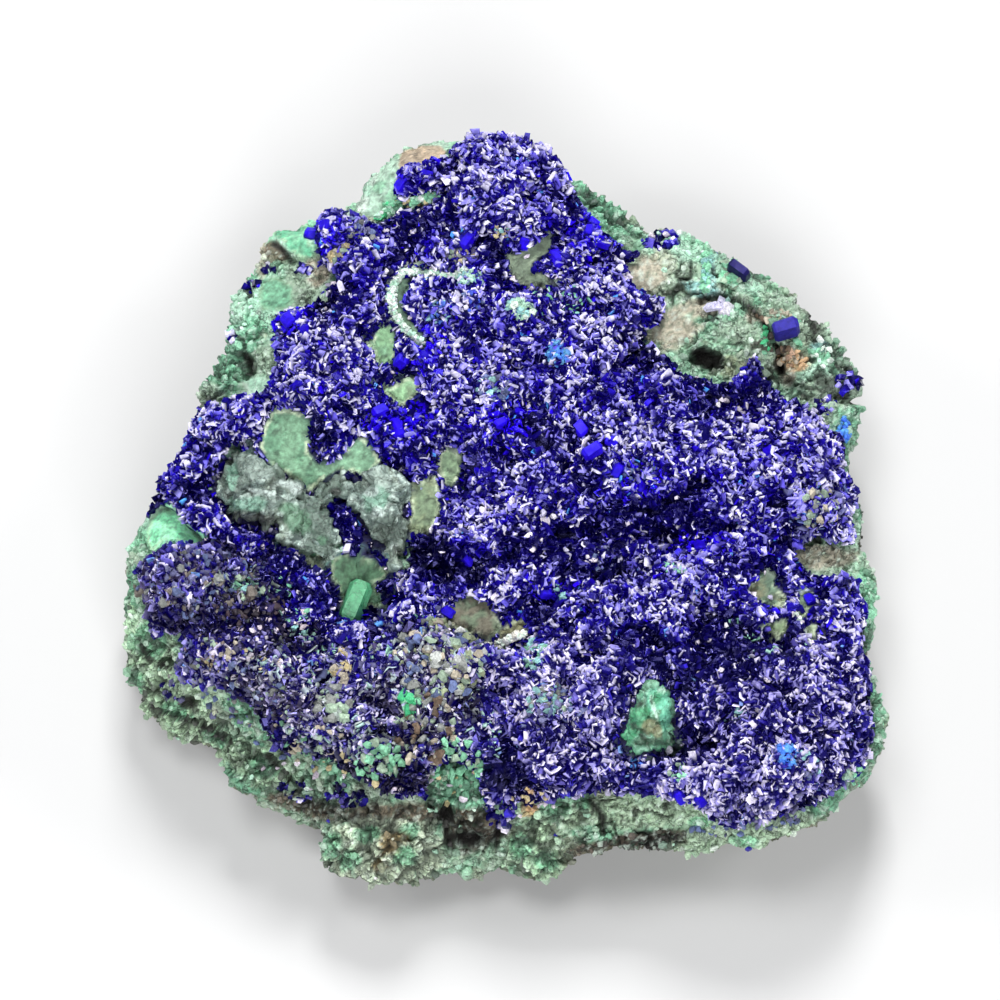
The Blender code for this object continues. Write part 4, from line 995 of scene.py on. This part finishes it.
def druse_base(node_name, voxel):
    """The ground that the crystals stand on: the CAD crust, made lumpy at the size of clusters."""
    mesh = remeshed(node_name, voxel)
    points, normals = points_of(mesh), normals_of(mesh)
    upward = ramp(-0.1, 0.4, normals[:, 2])
    clusters, _ = cells(points, CLUSTER, CLUSTER_SEED)
    small, _ = cells(points, 0.95 * MM, 2.0)
    push = 1.0 * MM * (0.3 - clusters ** 2) + 0.34 * MM * (0.3 - small ** 2)
    push += 0.2 * MM * cloud(points, 1.3 * MM, 12.0)
    bare = ramp(-1.5, 1.0, np.max(flats_at(*on_grid(points)), axis=0))
    hole = np.max(marks(*on_grid(points), HOLES, 0.0), axis=0)
    push = np.clip(push, -0.8 * MM, 0.25 * MM) * upward * (1.0 - 0.8 * bare)
    push -= (0.25 + 0.4 * hole) * MM
    moved = points + normals * push[:, None]
    moved[:, 2] = np.minimum(moved[:, 2], CAD_BOX[1].z - GROUND_TOP)
    move_points(mesh, moved)
    hole = np.max(marks(*on_grid(moved), HOLES, 0.0), axis=0)
    # Painted shade: the ground darker away from the clusters' middles, and near black in the holes.
    tones = np.outer((ramp(0.95, 0.25, clusters) * 0.6 + 0.1) * (1.0 - 0.85 * hole), DEEP)
    tint(mesh, flats_painted(tones, moved, upward))
    mesh.materials.append(azurite)
    return mesh


# The druse's pieces: name, kind, how many are tried, sizes, and the share of pale ones, whose pale tips are
# partly painted glints.
DRUSE_CRYSTALS = (
    ("crystal_grains", "block", 11500, 0.22 * MM, 0.42 * MM, 0.1),
    ("crystal_blades_short", "blade", 14000, 0.3 * MM, 0.55 * MM, 0.36),
    ("crystal_blades_long", "blade", 7000, 0.45 * MM, 0.82 * MM, 0.38),
    ("crystal_pairs", "pair", 9000, 0.42 * MM, 0.75 * MM, 0.4),
    ("crystal_prisms", "prism", 500, 0.4 * MM, 0.8 * MM, 0.06))
ISLAND_CRYSTALS = 500
WINDOW_TRIES = 60000                   # over the whole rock; few of them fall in a window


def make_druse():
    """The druse's ground and the crystals on it."""
    ground = druse_base("azurite_druse", 0.33 * MM)
    put("druse_ground", ground, stands_for=("azurite_druse",))
    for name, kind, count, low, high, pale in DRUSE_CRYSTALS:
        crystals(name, kind, *seats_on(ground, count), low, high, pale)
    return ground


def make_island():
    """The island's ground and its crystals, none of which are past its edge."""
    ground = druse_base("azurite_island", 0.16 * MM)
    put("island_ground", ground, stands_for=("azurite_island",))
    seats, ways = seats_on(ground, ISLAND_CRYSTALS)
    crystals("island_crystals", "blade", seats, ways, 0.3 * MM, 0.6 * MM, 0.25, overhang=0.0)


def make_window_crystals(rock):
    """Crystals on the rock inside the windows, everywhere but on the flats and the other pieces."""
    seats, ways = seats_on(rock, WINDOW_TRIES)
    u, v = on_grid(seats)
    near_window = np.max(marks(u, v, WINDOW_FLOORS + MOATS, 0.0), axis=0) > 0.35
    picked = near_window & off_bare(seats) & (ways[:, 2] > 0.2)
    seats, ways = seats[picked], ways[picked]
    covered = [druse_tree.ray_cast(Vector(p), UP)[0] or small_tree.ray_cast(Vector(p), UP)[0]
               for p in seats]
    touching = [small_tree.find_nearest(Vector(p), 0.25 * MM)[0] for p in seats]
    open_seats = np.array([over is None and near is None for over, near in zip(covered, touching)])
    crystals("window_crystals", "blade", seats[open_seats], ways[open_seats], 0.3 * MM, 0.62 * MM, 0.3,
             overhang=None)


# Large clear blue crystals: u, v, size in millimetres.
LARGE_CRYSTALS = (
    (466, 238, 1.3), (557, 261, 1.4), (523, 243, 0.9), (403, 360, 1.1), (426, 358, 1.1), (380, 412, 1.0),
    (398, 428, 1.2), (415, 418, 1.0), (312, 236, 1.1), (326, 226, 0.9), (288, 322, 1.1), (306, 330, 0.9),
    (326, 584, 0.8), (546, 592, 1.0), (466, 560, 0.9), (640, 486, 0.9), (618, 470, 0.8),
    (590, 232, 0.9), (604, 244, 0.8), (700, 548, 0.9), (500, 424, 0.9), (746, 370, 0.8), (856, 474, 1.1),
    (405, 184, 1.2), (424, 176, 1.0), (680, 796, 0.9), (700, 800, 0.8), (650, 404, 0.8),
    (580, 430, 1.1), (592, 452, 1.2), (612, 442, 0.8), (770, 450, 0.8), (448, 612, 0.8), (810, 600, 0.8))
# Small azurite that grows on the rock by itself: spots, and how many crystals are tried there.
SCATTERED = (
    ((664, 238, 20, 10, -20), 70), ((252, 288, 7, 6, 0), 10), ((268, 269, 7, 5, 0), 9),
    ((306, 268, 9, 6, 0), 14), ((848, 384, 12, 10, 0), 22), ((790, 608, 9, 6, -40), 26),
    ((797, 634, 6, 9, 0), 22), ((826, 404, 10, 8, 0), 16), ((346, 530, 13, 26, -15), 70),
    ((342, 508, 11, 11, 0), 36), ((232, 338, 5, 4, 0), 4), ((176, 690, 16, 10, 0), 12),
    ((350, 800, 18, 8, 0), 26), ((338, 792, 12, 8, 0), 16), ((296, 790, 18, 10, 20), 18),
    ((500, 812, 16, 16, 0), 40))
SCATTERED_SIZES = (0.25 * MM, 0.8 * MM)


def spot_seats(tree, spots, counts):
    """Places on a surface, seen from the camera, inside spots of the view grid: their points,
    normals and spots' numbers."""
    seats, ways, spot_of = [], [], []
    for number, ((cu, cv, across, down, turn), count) in enumerate(zip(spots, counts)):
        angle = math.radians(turn)
        for _ in range(count):
            reach, way = math.sqrt(rng.random()), rng.uniform(0.0, 2.0 * math.pi)
            du, dv = reach * across * math.cos(way), reach * down * math.sin(way)
            point, normal = seen_at(tree, cu + du * math.cos(angle) - dv * math.sin(angle),
                                    cv + du * math.sin(angle) + dv * math.cos(angle))
            if point is not None and point.z > WALL_FOOT:
                seats.append(point)
                ways.append(normal)
                spot_of.append(number)
    return np.array(seats), np.array(ways), spot_of


def make_large_crystals(tree):
    """The large clear crystals in the druse."""
    found = [(seen_at(tree, u, v), size) for u, v, size in LARGE_CRYSTALS]
    found = [(hit, size) for hit, size in found if hit[0] is not None]
    seats = np.array([hit[0] for hit, _ in found])
    ways = np.array([hit[1] for hit, _ in found])
    sizes = np.array([size for _, size in found]) * MM
    shape = sizes[:, None] * rng.uniform((0.9, 0.7, 0.6), (1.15, 0.95, 0.85), (len(sizes), 3))
    lean = rng.uniform(0.0, 0.35, len(sizes))
    frames = crystal_frames(ways, lean, rng.uniform(*ANY_TURN, len(sizes)))
    tones = np.outer(rng.uniform(0.55, 1.0, len(sizes)), VIVID)
    # Each foot painted half as bright as its tip, as shade.
    mesh = crystal_mesh("large_crystals", (HEXAGON, HEXAGON_FACES), seats, frames, shape, sink=0.35,
                        tips=tones, feet=0.5 * tones, wobble=0.03)
    mesh.materials.append(clear_azurite)
    put("large_crystals", mesh)


def make_scattered_crystals(tree):
    """The small crystals on the bare rock."""
    seats, ways, _ = spot_seats(tree, *zip(*SCATTERED))
    crystals("scattered_crystals", "block", seats, ways, *SCATTERED_SIZES, 0.16, overhang=None)


# ---------------------------------------------------------------- the other minerals
def lumpy(node_name, material, voxel, coarse, fine, rough, tones):
    """A refined copy of a small CAD lump, with facets and bumps of two sizes, the fine ones as high
    as it is rough, and mixed tones: its own, a patch's, its crowns' and its hollows'. The crowns'
    is a painted highlight on noise-raised spots that face up, the hollows' painted shade on
    noise-lowered spots, and its cracks are painted black as shade."""
    mesh = remeshed(node_name, voxel)
    points, normals = points_of(mesh), normals_of(mesh)
    uneven = warped(points, coarse, 6.0)
    splits = cracks(points, 1.4 * coarse, 0.09, 14.0)
    push = 0.45 * coarse * facets(uneven, coarse, 25.0) - 0.2 * coarse * splits
    push += rough * fine * (0.3 * cloud(points, fine, 15.0) + 0.35 * facets(uneven, 1.3 * fine, 35.0))
    moved = points + normals * push[:, None]
    move_points(mesh, moved)
    patch = cloud(moved, coarse * 1.2, 16.0)
    small = cloud(moved, fine, 18.0)
    colours = np.outer(np.ones(len(moved)), tones[0])
    colours = mixed(colours, ramp(0.0, 0.35, patch), tones[1])
    # Painted highlight on the crowns that face up.
    colours = mixed(colours, ramp(0.05, 0.4, small) * ramp(0.0, 0.5, normals[:, 2]), tones[2])
    # Painted shade in the hollows.
    colours = mixed(colours, ramp(0.2, 0.45, -small) * 0.7, tones[3])
    # Cracks painted black as shade.
    tint(mesh, mixed(colours, 0.8 * splits, BLACK))
    mesh.shade_smooth()
    mesh.materials.append(material)
    return put(node_name + "_skin", mesh, stands_for=(node_name,))


# Patches of the nodules and of the lump, as for the rock. A lumpy piece's tones are its own, a
# patch's, its crowns' (a painted highlight) and its hollows' (painted shade).
NODULE_TONES = (
    colour(122, 142, 134), colour(138, 154, 140), colour(198, 218, 208), colour(62, 76, 76))
NODULE_PATCHES = (
    (colour(86, 102, 92), ((232, 470, 16, 24, 0), (290, 478, 24, 12, 30), (386, 540, 18, 26, 0))),
    (colour(150, 168, 158), ((258, 466, 18, 14, 0), (378, 482, 12, 12, 0), (262, 500, 24, 6, 10))),
    (colour(122, 168, 146), ((248, 504, 20, 8, 0), (376, 500, 12, 12, 0), (232, 474, 6, 14, 0))),
    (colour(84, 104, 92), ((322, 512, 26, 22, 0), (330, 484, 22, 9, 0), (318, 548, 18, 16, 0))),
    (colour(98, 142, 112), ((298, 523, 14, 12, 0), (322, 541, 6, 5, 0), (290, 508, 10, 6, 0))),
    # Painted glints on the nodules.
    (colour(198, 214, 208), ((286, 484, 12, 4, 10), (262, 492, 16, 3, 10), (372, 492, 7, 5, 0),
                             (378, 512, 6, 5, 0), (296, 490, 5, 4, 0), (396, 548, 5, 5, 0))),
    # Painted shadow under the left nodule and in a gap beside it.
    (BLACK, ((252, 518, 30, 6, 10), (336, 492, 6, 4, 0))),
)
LUMP_TONES = (colour(96, 158, 124), colour(84, 136, 104), colour(150, 206, 178), colour(34, 66, 50))
LUMP_PATCHES = (
    (colour(112, 200, 166), ((658, 700, 11, 12, 20), (665, 716, 5, 14, 0))),
    (colour(70, 160, 112), ((656, 698, 6, 6, 0), (640, 716, 9, 10, 0), (628, 734, 9, 10, 0))),
    (colour(150, 150, 114), ((650, 726, 8, 8, 0), (657, 732, 5, 6, 0))),
    (colour(196, 230, 212), ((654, 708, 2, 12, -15), (662, 690, 5, 2, 0))),
    # Painted shade at the lump's lower edge.
    (colour(46, 72, 52), ((650, 742, 18, 4, 0), (634, 726, 3, 4, 0))),
)


def painted(mesh, patches, wander_size):
    """Paints patches over a piece's tint, where it faces up."""
    points, normals = points_of(mesh), normals_of(mesh)
    u, v = on_grid(points)
    wander = 0.4 * cloud(points, wander_size, 91.0)
    tones = tinted(mesh)
    for tone, spots in patches:
        for amount in marks(u, v, spots, wander):
            tones[:, :3] = mixed(tones[:, :3], amount * ramp(-0.4, 0.2, normals[:, 2]) * 0.8, tone)
    mesh.color_attributes["tint"].data.foreach_set("color", tones.ravel())


FOOT_DROP = 0.45 * MM                  # how far a lone crystal's foot is let down into the rock


def prism_copy(node_name, material, tip, foot, widen=1.0):
    """A lone crystal with the CAD's own flat faces, its foot let down to the rock, its colour running
    from foot to tip, the foot painted darker as shade. It may be widened about its length."""
    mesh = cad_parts[node_name].data.copy()
    mesh.name = node_name + "_skin"
    mesh.materials.clear()
    mesh.materials.append(material)
    points = points_of(mesh)
    low, high = points[:, 2].min(), points[:, 2].max()
    share = ((points[:, 2] - low) / (high - low))[:, None]
    points[:, 2] -= FOOT_DROP * (share[:, 0] < 0.6)
    middle = points.mean(0)
    _, _, ways = np.linalg.svd(points - middle)
    along = (points - middle) @ ways[0]
    line = middle + np.outer(along, ways[0])
    points = line + (points - line) * (widen, widen, 1.0)
    move_points(mesh, points)
    tint(mesh, foot + (tip - foot) * share)
    put(node_name + "_skin", mesh, stands_for=(node_name,))


def make_small_minerals():
    """The nodules, the lump, the blade and the two azurite crystals on the upper right ledge."""
    nodules = lumpy("grey_nodules", grey_mineral, voxel=0.1 * MM, coarse=1.4 * MM,
                    fine=0.4 * MM, rough=0.4, tones=NODULE_TONES)
    painted(nodules.data, NODULE_PATCHES, 0.9 * MM)
    lump = lumpy("malachite_lump", green_mineral, voxel=0.08 * MM, coarse=1.2 * MM,
                 fine=0.4 * MM, rough=1.0, tones=LUMP_TONES)
    painted(lump.data, LUMP_PATCHES, 0.6 * MM)
    prism_copy("malachite_blade", green_mineral, colour(76, 158, 112),
               colour(36, 84, 60), widen=1.3)
    prism_copy("ledge_crystal", clear_azurite, colour(42, 38, 134), colour(12, 8, 54))
    prism_copy("rim_crystal", clear_azurite, colour(15, 12, 66), colour(8, 5, 36))


ROCK_GRAINS = 2600
ROCK_GRAIN_FOOT = 0.8 * MM             # the lowest that a rock grain sits


def make_rock_grains(rock):
    """Rounded grains of malachite and rock, grown over the rim and walls of the matrix."""
    points, normals = points_of(rock), normals_of(rock)
    u, v = on_grid(points)
    taken = [np.max(marks(u, v, spots, 0.0), axis=0) for spots in (SMOOTH_FLATS, WINDOW_FLOORS, PITS)]
    room = (1.0 - np.max(taken, axis=0)) * (np.max(flats_at(u, v, RIM_FLATS), axis=0) < -2.0)
    open_to_sky = np.array([bare_above(Vector(p)) for p in points])
    crowd = ramp(-0.3, 0.4, cloud(points, 2.2 * MM, 71.0))
    chance = room * crowd * open_to_sky * ramp(-0.6, -0.1, normals[:, 2])
    chance *= points[:, 2] > ROCK_GRAIN_FOOT
    chosen = rng.choice(len(points), ROCK_GRAINS, replace=False, p=chance / chance.sum())
    seats, ways = points[chosen], normals[chosen]
    count = len(seats)
    sizes = (0.2 + 0.4 * rng.random(count) ** 3)[:, None] * MM * rng.uniform(0.5, 1.6, (count, 3))
    frames = crystal_frames(ways, rng.uniform(0.0, 0.6, count), rng.uniform(*ANY_TURN, count))
    tones = tinted(rock)[chosen, :3] * rng.uniform(0.8, 1.3, (count, 1)) + 0.03
    pick = rng.random(count)
    tones[pick < 0.03] = PALE_MINT
    tones[(pick > 0.03) & (pick < 0.04)] = ROYAL
    tones = np.clip(tones, 0.0, 0.85)
    mesh = crystal_mesh("rock_grains", (GRAIN, GRAIN_FACES), seats, frames, sizes, sink=0.45,
                        tips=tones, feet=tones * 0.35, wobble=0.07)
    mesh.materials.append(rock_grain)
    put("rock_grains", mesh)


# Grains of other colours, on the druse and the rock: their spot, how many are tried, their sizes
# in millimetres, and their colours.
SPRINKLES = (
    ((196, 584, 60, 36, 0), 150, (0.3, 0.6), (STEEL, DUSTY, GREY, colour(120, 112, 104))),
    ((248, 588, 16, 12, 0), 20, (0.3, 0.6), (TEAL, GREY_GREEN, MINT)),
    ((300, 622, 14, 16, 0), 14, (0.3, 0.5), (TEAL, MINT)),
    ((230, 690, 70, 30, 20), 90, (0.3, 0.55), (STEEL, GREY, GREY_GREEN, DUSTY)),
    ((343, 668, 7, 20, 8), 26, (0.4, 0.7), (colour(206, 188, 136), TAN)),
    ((333, 706, 17, 18, 0), 40, (0.45, 0.85), (colour(166, 178, 172), GREY, GREY_GREEN)),
    ((410, 704, 10, 11, 0), 14, (0.5, 0.8), (BRIGHT_GREEN, MINT)),
    ((440, 660, 46, 40, 0), 150, (0.35, 0.8), (GREY, GREY_GREEN, TAN, STEEL, colour(196, 200, 196), OLIVE)),
    ((424, 730, 30, 34, 0), 60, (0.35, 0.75), (TAN, GREY, BROWN, GREY_GREEN)),
    ((380, 760, 24, 15, 0), 40, (0.4, 0.8), (MID_GREEN, GREY_GREEN, MINT)),
    ((458, 770, 26, 30, 0), 60, (0.4, 0.8), (MINT, MID_GREEN, GREY_GREEN)),
    ((300, 740, 60, 24, 20), 60, (0.3, 0.6), (GREY_GREEN, MID_GREEN, STEEL, TAN)),
    ((557, 354, 11, 13, -30), 80, (0.25, 0.5), (SKY, colour(110, 190, 240), colour(70, 130, 230))),
    ((521, 310, 14, 9, 20), 80, (0.25, 0.55), (TEAL, PALE_MINT, WHITE_MINT)),
    ((471, 279, 16, 5, 0), 44, (0.25, 0.45), (PALE_MINT, TEAL)),
    ((462, 256, 16, 8, 0), 50, (0.25, 0.45), (GREY, SAND, GREY_GREEN, DULL)),
    ((494, 388, 16, 12, 0), 46, (0.25, 0.5), (STEEL, DUSTY, TEAL)),
    ((500, 232, 10, 6, 0), 16, (0.25, 0.45), (TEAL, SAND)),
    ((440, 312, 14, 12, 0), 50, (0.25, 0.45), (STEEL, colour(70, 110, 210), TEAL)),
    ((640, 470, 16, 12, 0), 30, (0.25, 0.45), (STEEL, DUSTY)),
    ((785, 757, 14, 11, 0), 84, (0.25, 0.45), (SKY, colour(60, 130, 245))),
    ((637, 763, 7, 6, 0), 24, (0.25, 0.5), (SKY, colour(70, 120, 240))),
    ((843, 430, 7, 12, 0), 34, (0.25, 0.45), (SKY, colour(60, 120, 245))),
    ((470, 300, 20, 10, 0), 30, (0.22, 0.4), (STEEL, colour(60, 90, 220))),
    ((604, 560, 18, 12, 0), 24, (0.22, 0.4), (STEEL, DUSTY)),
    ((556, 700, 20, 16, 0), 40, (0.25, 0.5), (TEAL, STEEL, GREY_GREEN)),
    ((806, 770, 14, 20, 0), 50, (0.22, 0.45), (STEEL, DUSTY, TEAL)),
    ((560, 592, 8, 10, 20), 12, (0.25, 0.45), (TEAL,)),
    ((675, 570, 14, 5, 0), 12, (0.25, 0.45), (MINT, TEAL)),
    ((533, 655, 12, 16, 0), 30, (0.3, 0.6), (MINT, TEAL, MID_GREEN)),
    ((545, 702, 22, 18, 0), 40, (0.3, 0.6), (DUSTY, GREY, TEAL)),
    ((680, 772, 10, 8, 0), 12, (0.3, 0.5), (GREY_GREEN, MINT)),
    ((735, 716, 14, 6, 0), 12, (0.3, 0.5), (TEAL, GREY_GREEN)),
    ((818, 504, 26, 22, 0), 50, (0.3, 0.6), (GREY, GREY_GREEN, LAVENDER, TAN)),
    ((745, 826, 60, 9, -6), 50, (0.3, 0.5), (DUSTY, GREY_GREEN, STEEL)),
    ((722, 306, 8, 6, 30), 14, (0.5, 0.9), (SHELL, WHITE_AND_GLINT)),
    ((764, 340, 5, 12, 0), 8, (0.3, 0.6), (BRIGHT_GREEN, MINT)),
    ((792, 358, 15, 9, 10), 24, (0.3, 0.6), (ORANGE, colour(212, 176, 150), TAN)),
    ((822, 354, 10, 14, -30), 12, (0.3, 0.6), (MINT, WHITE_MINT)),
    ((270, 622, 46, 20, 0), 34, (0.25, 0.5), (SHELL, colour(226, 210, 220))),
    ((236, 662, 50, 16, 0), 26, (0.25, 0.5), (SHELL, SAND)),
    ((212, 648, 30, 14, 0), 26, (0.3, 0.55), (colour(150, 134, 128), GREY_GREEN, TAN)),
    # Dark grains in the lower-left fold: painted shade.
    ((250, 606, 36, 18, 0), 60, (0.25, 0.55), (colour(62, 46, 56), colour(44, 34, 48))),
    # White grains over the druse: partly pale grains, partly painted glints.
    ((505, 520, 50, 26, 0), 22, (0.28, 0.5), (SHELL, WHITE_AND_GLINT)),
    ((730, 408, 20, 6, 0), 6, (0.35, 0.6), (SHELL,)),
    ((600, 560, 120, 40, 0), 26, (0.25, 0.45), (SHELL, WHITE_AND_GLINT)),
    ((640, 640, 160, 120, 0), 60, (0.25, 0.45), (SHELL, WHITE_AND_GLINT)),
    ((440, 330, 130, 130, 0), 60, (0.25, 0.42), (SHELL, WHITE_AND_GLINT)),
    ((380, 770, 120, 24, 0), 34, (0.25, 0.5), (SHELL, colour(210, 196, 214), SAND)),
    ((500, 800, 60, 16, 0), 16, (0.3, 0.5), (SHELL, SAND)),
    ((420, 690, 60, 60, 0), 30, (0.25, 0.45), (SHELL, WHITE_MINT)),
    ((530, 800, 5, 15, -12), 26, (0.25, 0.5), (ORANGE, SAND, colour(226, 196, 140))),
    ((768, 318, 12, 4, 20), 12, (0.3, 0.6), (GREY_GREEN, TAN, BROWN)),
    ((800, 334, 5, 12, 0), 12, (0.3, 0.6), (MINT, GREY_GREEN)),
    # Dark grains along the ledge's crack: painted shade.
    ((780, 349, 14, 4, 0), 10, (0.3, 0.5), (BROWN, colour(60, 48, 40))),
    ((175, 546, 16, 5, -12), 26, (0.3, 0.5), (colour(52, 66, 190), ROYAL)),
    ((855, 776, 12, 9, 0), 24, (0.35, 0.7), (MINT, PALE_MINT, GREY_GREEN)),
    ((731, 274, 12, 8, 35), 60, (0.35, 0.7), (MINT, GREY_GREEN, PALE_MINT)),
    ((784, 318, 18, 5, 20), 30, (0.35, 0.6), (GREY_GREEN, TAN, PALE_MINT)),
    # Dark grains along the ledge's crack: painted shade.
    ((773, 338, 5, 8, 0), 14, (0.3, 0.5), (colour(60, 52, 50), DARK_GREEN)),
    ((416, 201, 26, 5, -14), 60, (0.3, 0.6), (PALE_MINT, SAND, MINT, WHITE_MINT)),
    ((388, 211, 12, 7, -30), 30, (0.3, 0.6), (MINT, BRIGHT_GREEN, PALE_MINT)),
    ((360, 230, 16, 12, 0), 40, (0.25, 0.5), (STEEL, DUSTY, GREY)),
    ((337, 254, 11, 4, -45), 34, (0.3, 0.55), (TAN, SAND, GREY_GREEN)),
    ((652, 232, 10, 8, 0), 14, (0.3, 0.6), (SHELL, PALE_MINT)),
    ((705, 274, 3, 20, 0), 26, (0.3, 0.6), (TEAL, MINT)),
    ((560, 262, 3, 12, 0), 8, (0.2, 0.4), (SHELL, WHITE_AND_GLINT)))
# Ridges of pale grains: their line, how far the grains stray from it, and their colours.
RIDGES = (
    (CRESCENT, 3.2, (1.3 * WHITE_MINT, 1.15 * WHITE_MINT, 1.2 * PALE_MINT)),
    (((486, 645), (500, 643), (512, 638), (527, 632)), 2.6, (1.2 * WHITE_MINT, colour(244, 240, 228))),
    (((786, 606), (794, 612), (801, 622), (805, 634), (812, 648)), 1.2, (WHITE_MINT, SHELL)),
)
RIDGE_PITCH = 3.5                      # of the grains' spots along a ridge, in grid units
RIDGE_SIZES = (0.16, 0.36)             # of its grains, in millimetres


def ridge_spots():
    """The ridges as rows of sprinkles."""
    rows = []
    for line, stray, tones in RIDGES:
        for (au, av), (bu, bv) in zip(line, line[1:]):
            steps = max(1, round(math.hypot(bu - au, bv - av) / RIDGE_PITCH))
            for i in range(steps):
                share = i / steps
                spot = (au + share * (bu - au), av + share * (bv - av), stray, stray, 0)
                rows.append((spot, 4 + round(5 * stray), RIDGE_SIZES, tones))
    return tuple(rows)


def make_sprinkles(tree):
    """The grains of other colours and those of the ridges, in one piece."""
    rows = SPRINKLES + ridge_spots()
    seats, ways, spot_of = spot_seats(tree, [row[0] for row in rows], [row[1] for row in rows])
    sizes, tones = [], []
    for number in spot_of:
        _, _, (low, high), colours = rows[number]
        sizes.append(rng.uniform(low, high) * rng.uniform(0.5, 1.35, 3) * MM)
        tones.append(colours[rng.integers(len(colours))] * rng.uniform(0.6, 1.2))
    sizes, tones = np.array(sizes), np.minimum(tones, BRIGHTEST)
    lean = rng.uniform(0.0, 0.8, len(seats))
    frames = crystal_frames(ways, lean, rng.uniform(*ANY_TURN, len(seats)))
    mesh = crystal_mesh("mixed_grains", (GRAIN, GRAIN_FACES), seats, frames, sizes, sink=0.2,
                        tips=tones, feet=tones * 0.4, wobble=0.1)
    mesh.materials.append(rock_grain)
    put("mixed_grains", mesh)


# ---------------------------------------------------------------- the studio
FLOOR_HALF = 1.2                       # half the floor's side
FLOOR_DROP = 0.02 * MM                 # how far it lies below the specimen's underside
LIGHTS = (               # each one's name, place, side in metres and power in watts
    ("key", (0.02, 0.34, 0.42), 0.14, 2.5),
    ("top", (-0.12, 0.06, 0.55), 0.2, 1.1),
    ("side", (-0.45, 0.06, 0.3), 0.14, 0.7),
    ("other_side", (0.45, 0.1, 0.34), 0.14, 0.7),
    ("fill", (0.04, -0.42, 0.36), 0.3, 2.4))
SKY_COLOUR = (0.9, 0.93, 1.0, 1.0)
SKY_STRENGTH = 0.16


def make_floor():
    floor = bpy.data.meshes.new("floor")
    half = FLOOR_HALF
    corners = [(-half, -half, 0), (half, -half, 0), (half, half, 0), (-half, half, 0)]
    floor.from_pydata(corners, [], [(0, 1, 2, 3)])
    floor.materials.append(plain("floor", colour(196, 196, 196), 0.8))
    stage = bpy.data.objects.new("floor", floor)
    stage.location.z = -FLOOR_DROP
    bpy.context.scene.collection.objects.link(stage)


def make_lights():
    """Soft lights, each of which looks at the origin, and a faint sky."""
    for name, place, size, power in LIGHTS:
        data = bpy.data.lights.new(name, "AREA")
        data.size = size
        data.energy = power
        light = bpy.data.objects.new(name, data)
        light.location = place
        light.rotation_mode = "QUATERNION"
        light.rotation_quaternion = (-Vector(place)).to_track_quat("-Z", "Y")
        bpy.context.scene.collection.objects.link(light)
    world = bpy.data.worlds.new("studio")
    world.use_nodes = True
    world.node_tree.nodes["Background"].inputs["Color"].default_value = SKY_COLOUR
    world.node_tree.nodes["Background"].inputs["Strength"].default_value = SKY_STRENGTH
    bpy.context.scene.world = world
    bpy.context.scene.view_settings.view_transform = "Standard"


azurite = azurite_material("azurite", roughness=(0.08, 0.32), ior=1.7)
clear_azurite = azurite_material("clear_azurite", roughness=(0.3, 0.6), ior=1.45)
rock_skin = mineral("rock_skin", grain=0.2 * MM, bump_depth=0.1 * MM, roughness=(0.4, 0.8),
                    mottle=(0.75, 1.3), ior=1.55, crevice_shade=0.6)
rock_grain = mineral("rock_grain", grain=0.16 * MM, bump_depth=0.05 * MM, roughness=(0.35, 0.75),
                     mottle=(0.65, 1.25), ior=1.6, crevice_shade=0.4)
grey_mineral = mineral("grey_mineral", grain=0.2 * MM, bump_depth=0.07 * MM, roughness=(0.15, 0.5),
                       mottle=(0.7, 1.3), ior=1.6, crevice_shade=0.5)
green_mineral = mineral("green_mineral", grain=0.25 * MM, bump_depth=0.05 * MM, roughness=(0.25, 0.6),
                        mottle=(0.75, 1.2), ior=1.65, crevice_shade=0.35)

make_camera()
crust_tree = tree_of([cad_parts[name].data for name in ("azurite_druse", "azurite_island")])
small_tree = tree_of([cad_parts[name].data for name in (
    "azurite_island", "grey_nodules", "malachite_lump", "malachite_blade")])
rock_mesh = make_rock()
druse_mesh = make_druse()
druse_tree = tree_of([druse_mesh])
make_window_crystals(rock_mesh)
make_island()
make_small_minerals()
make_rock_grains(rock_mesh)
surface = tree_of([rock_mesh, druse_mesh])
make_sprinkles(surface)
make_large_crystals(surface)
make_scattered_crystals(surface)
make_floor()
make_lights()
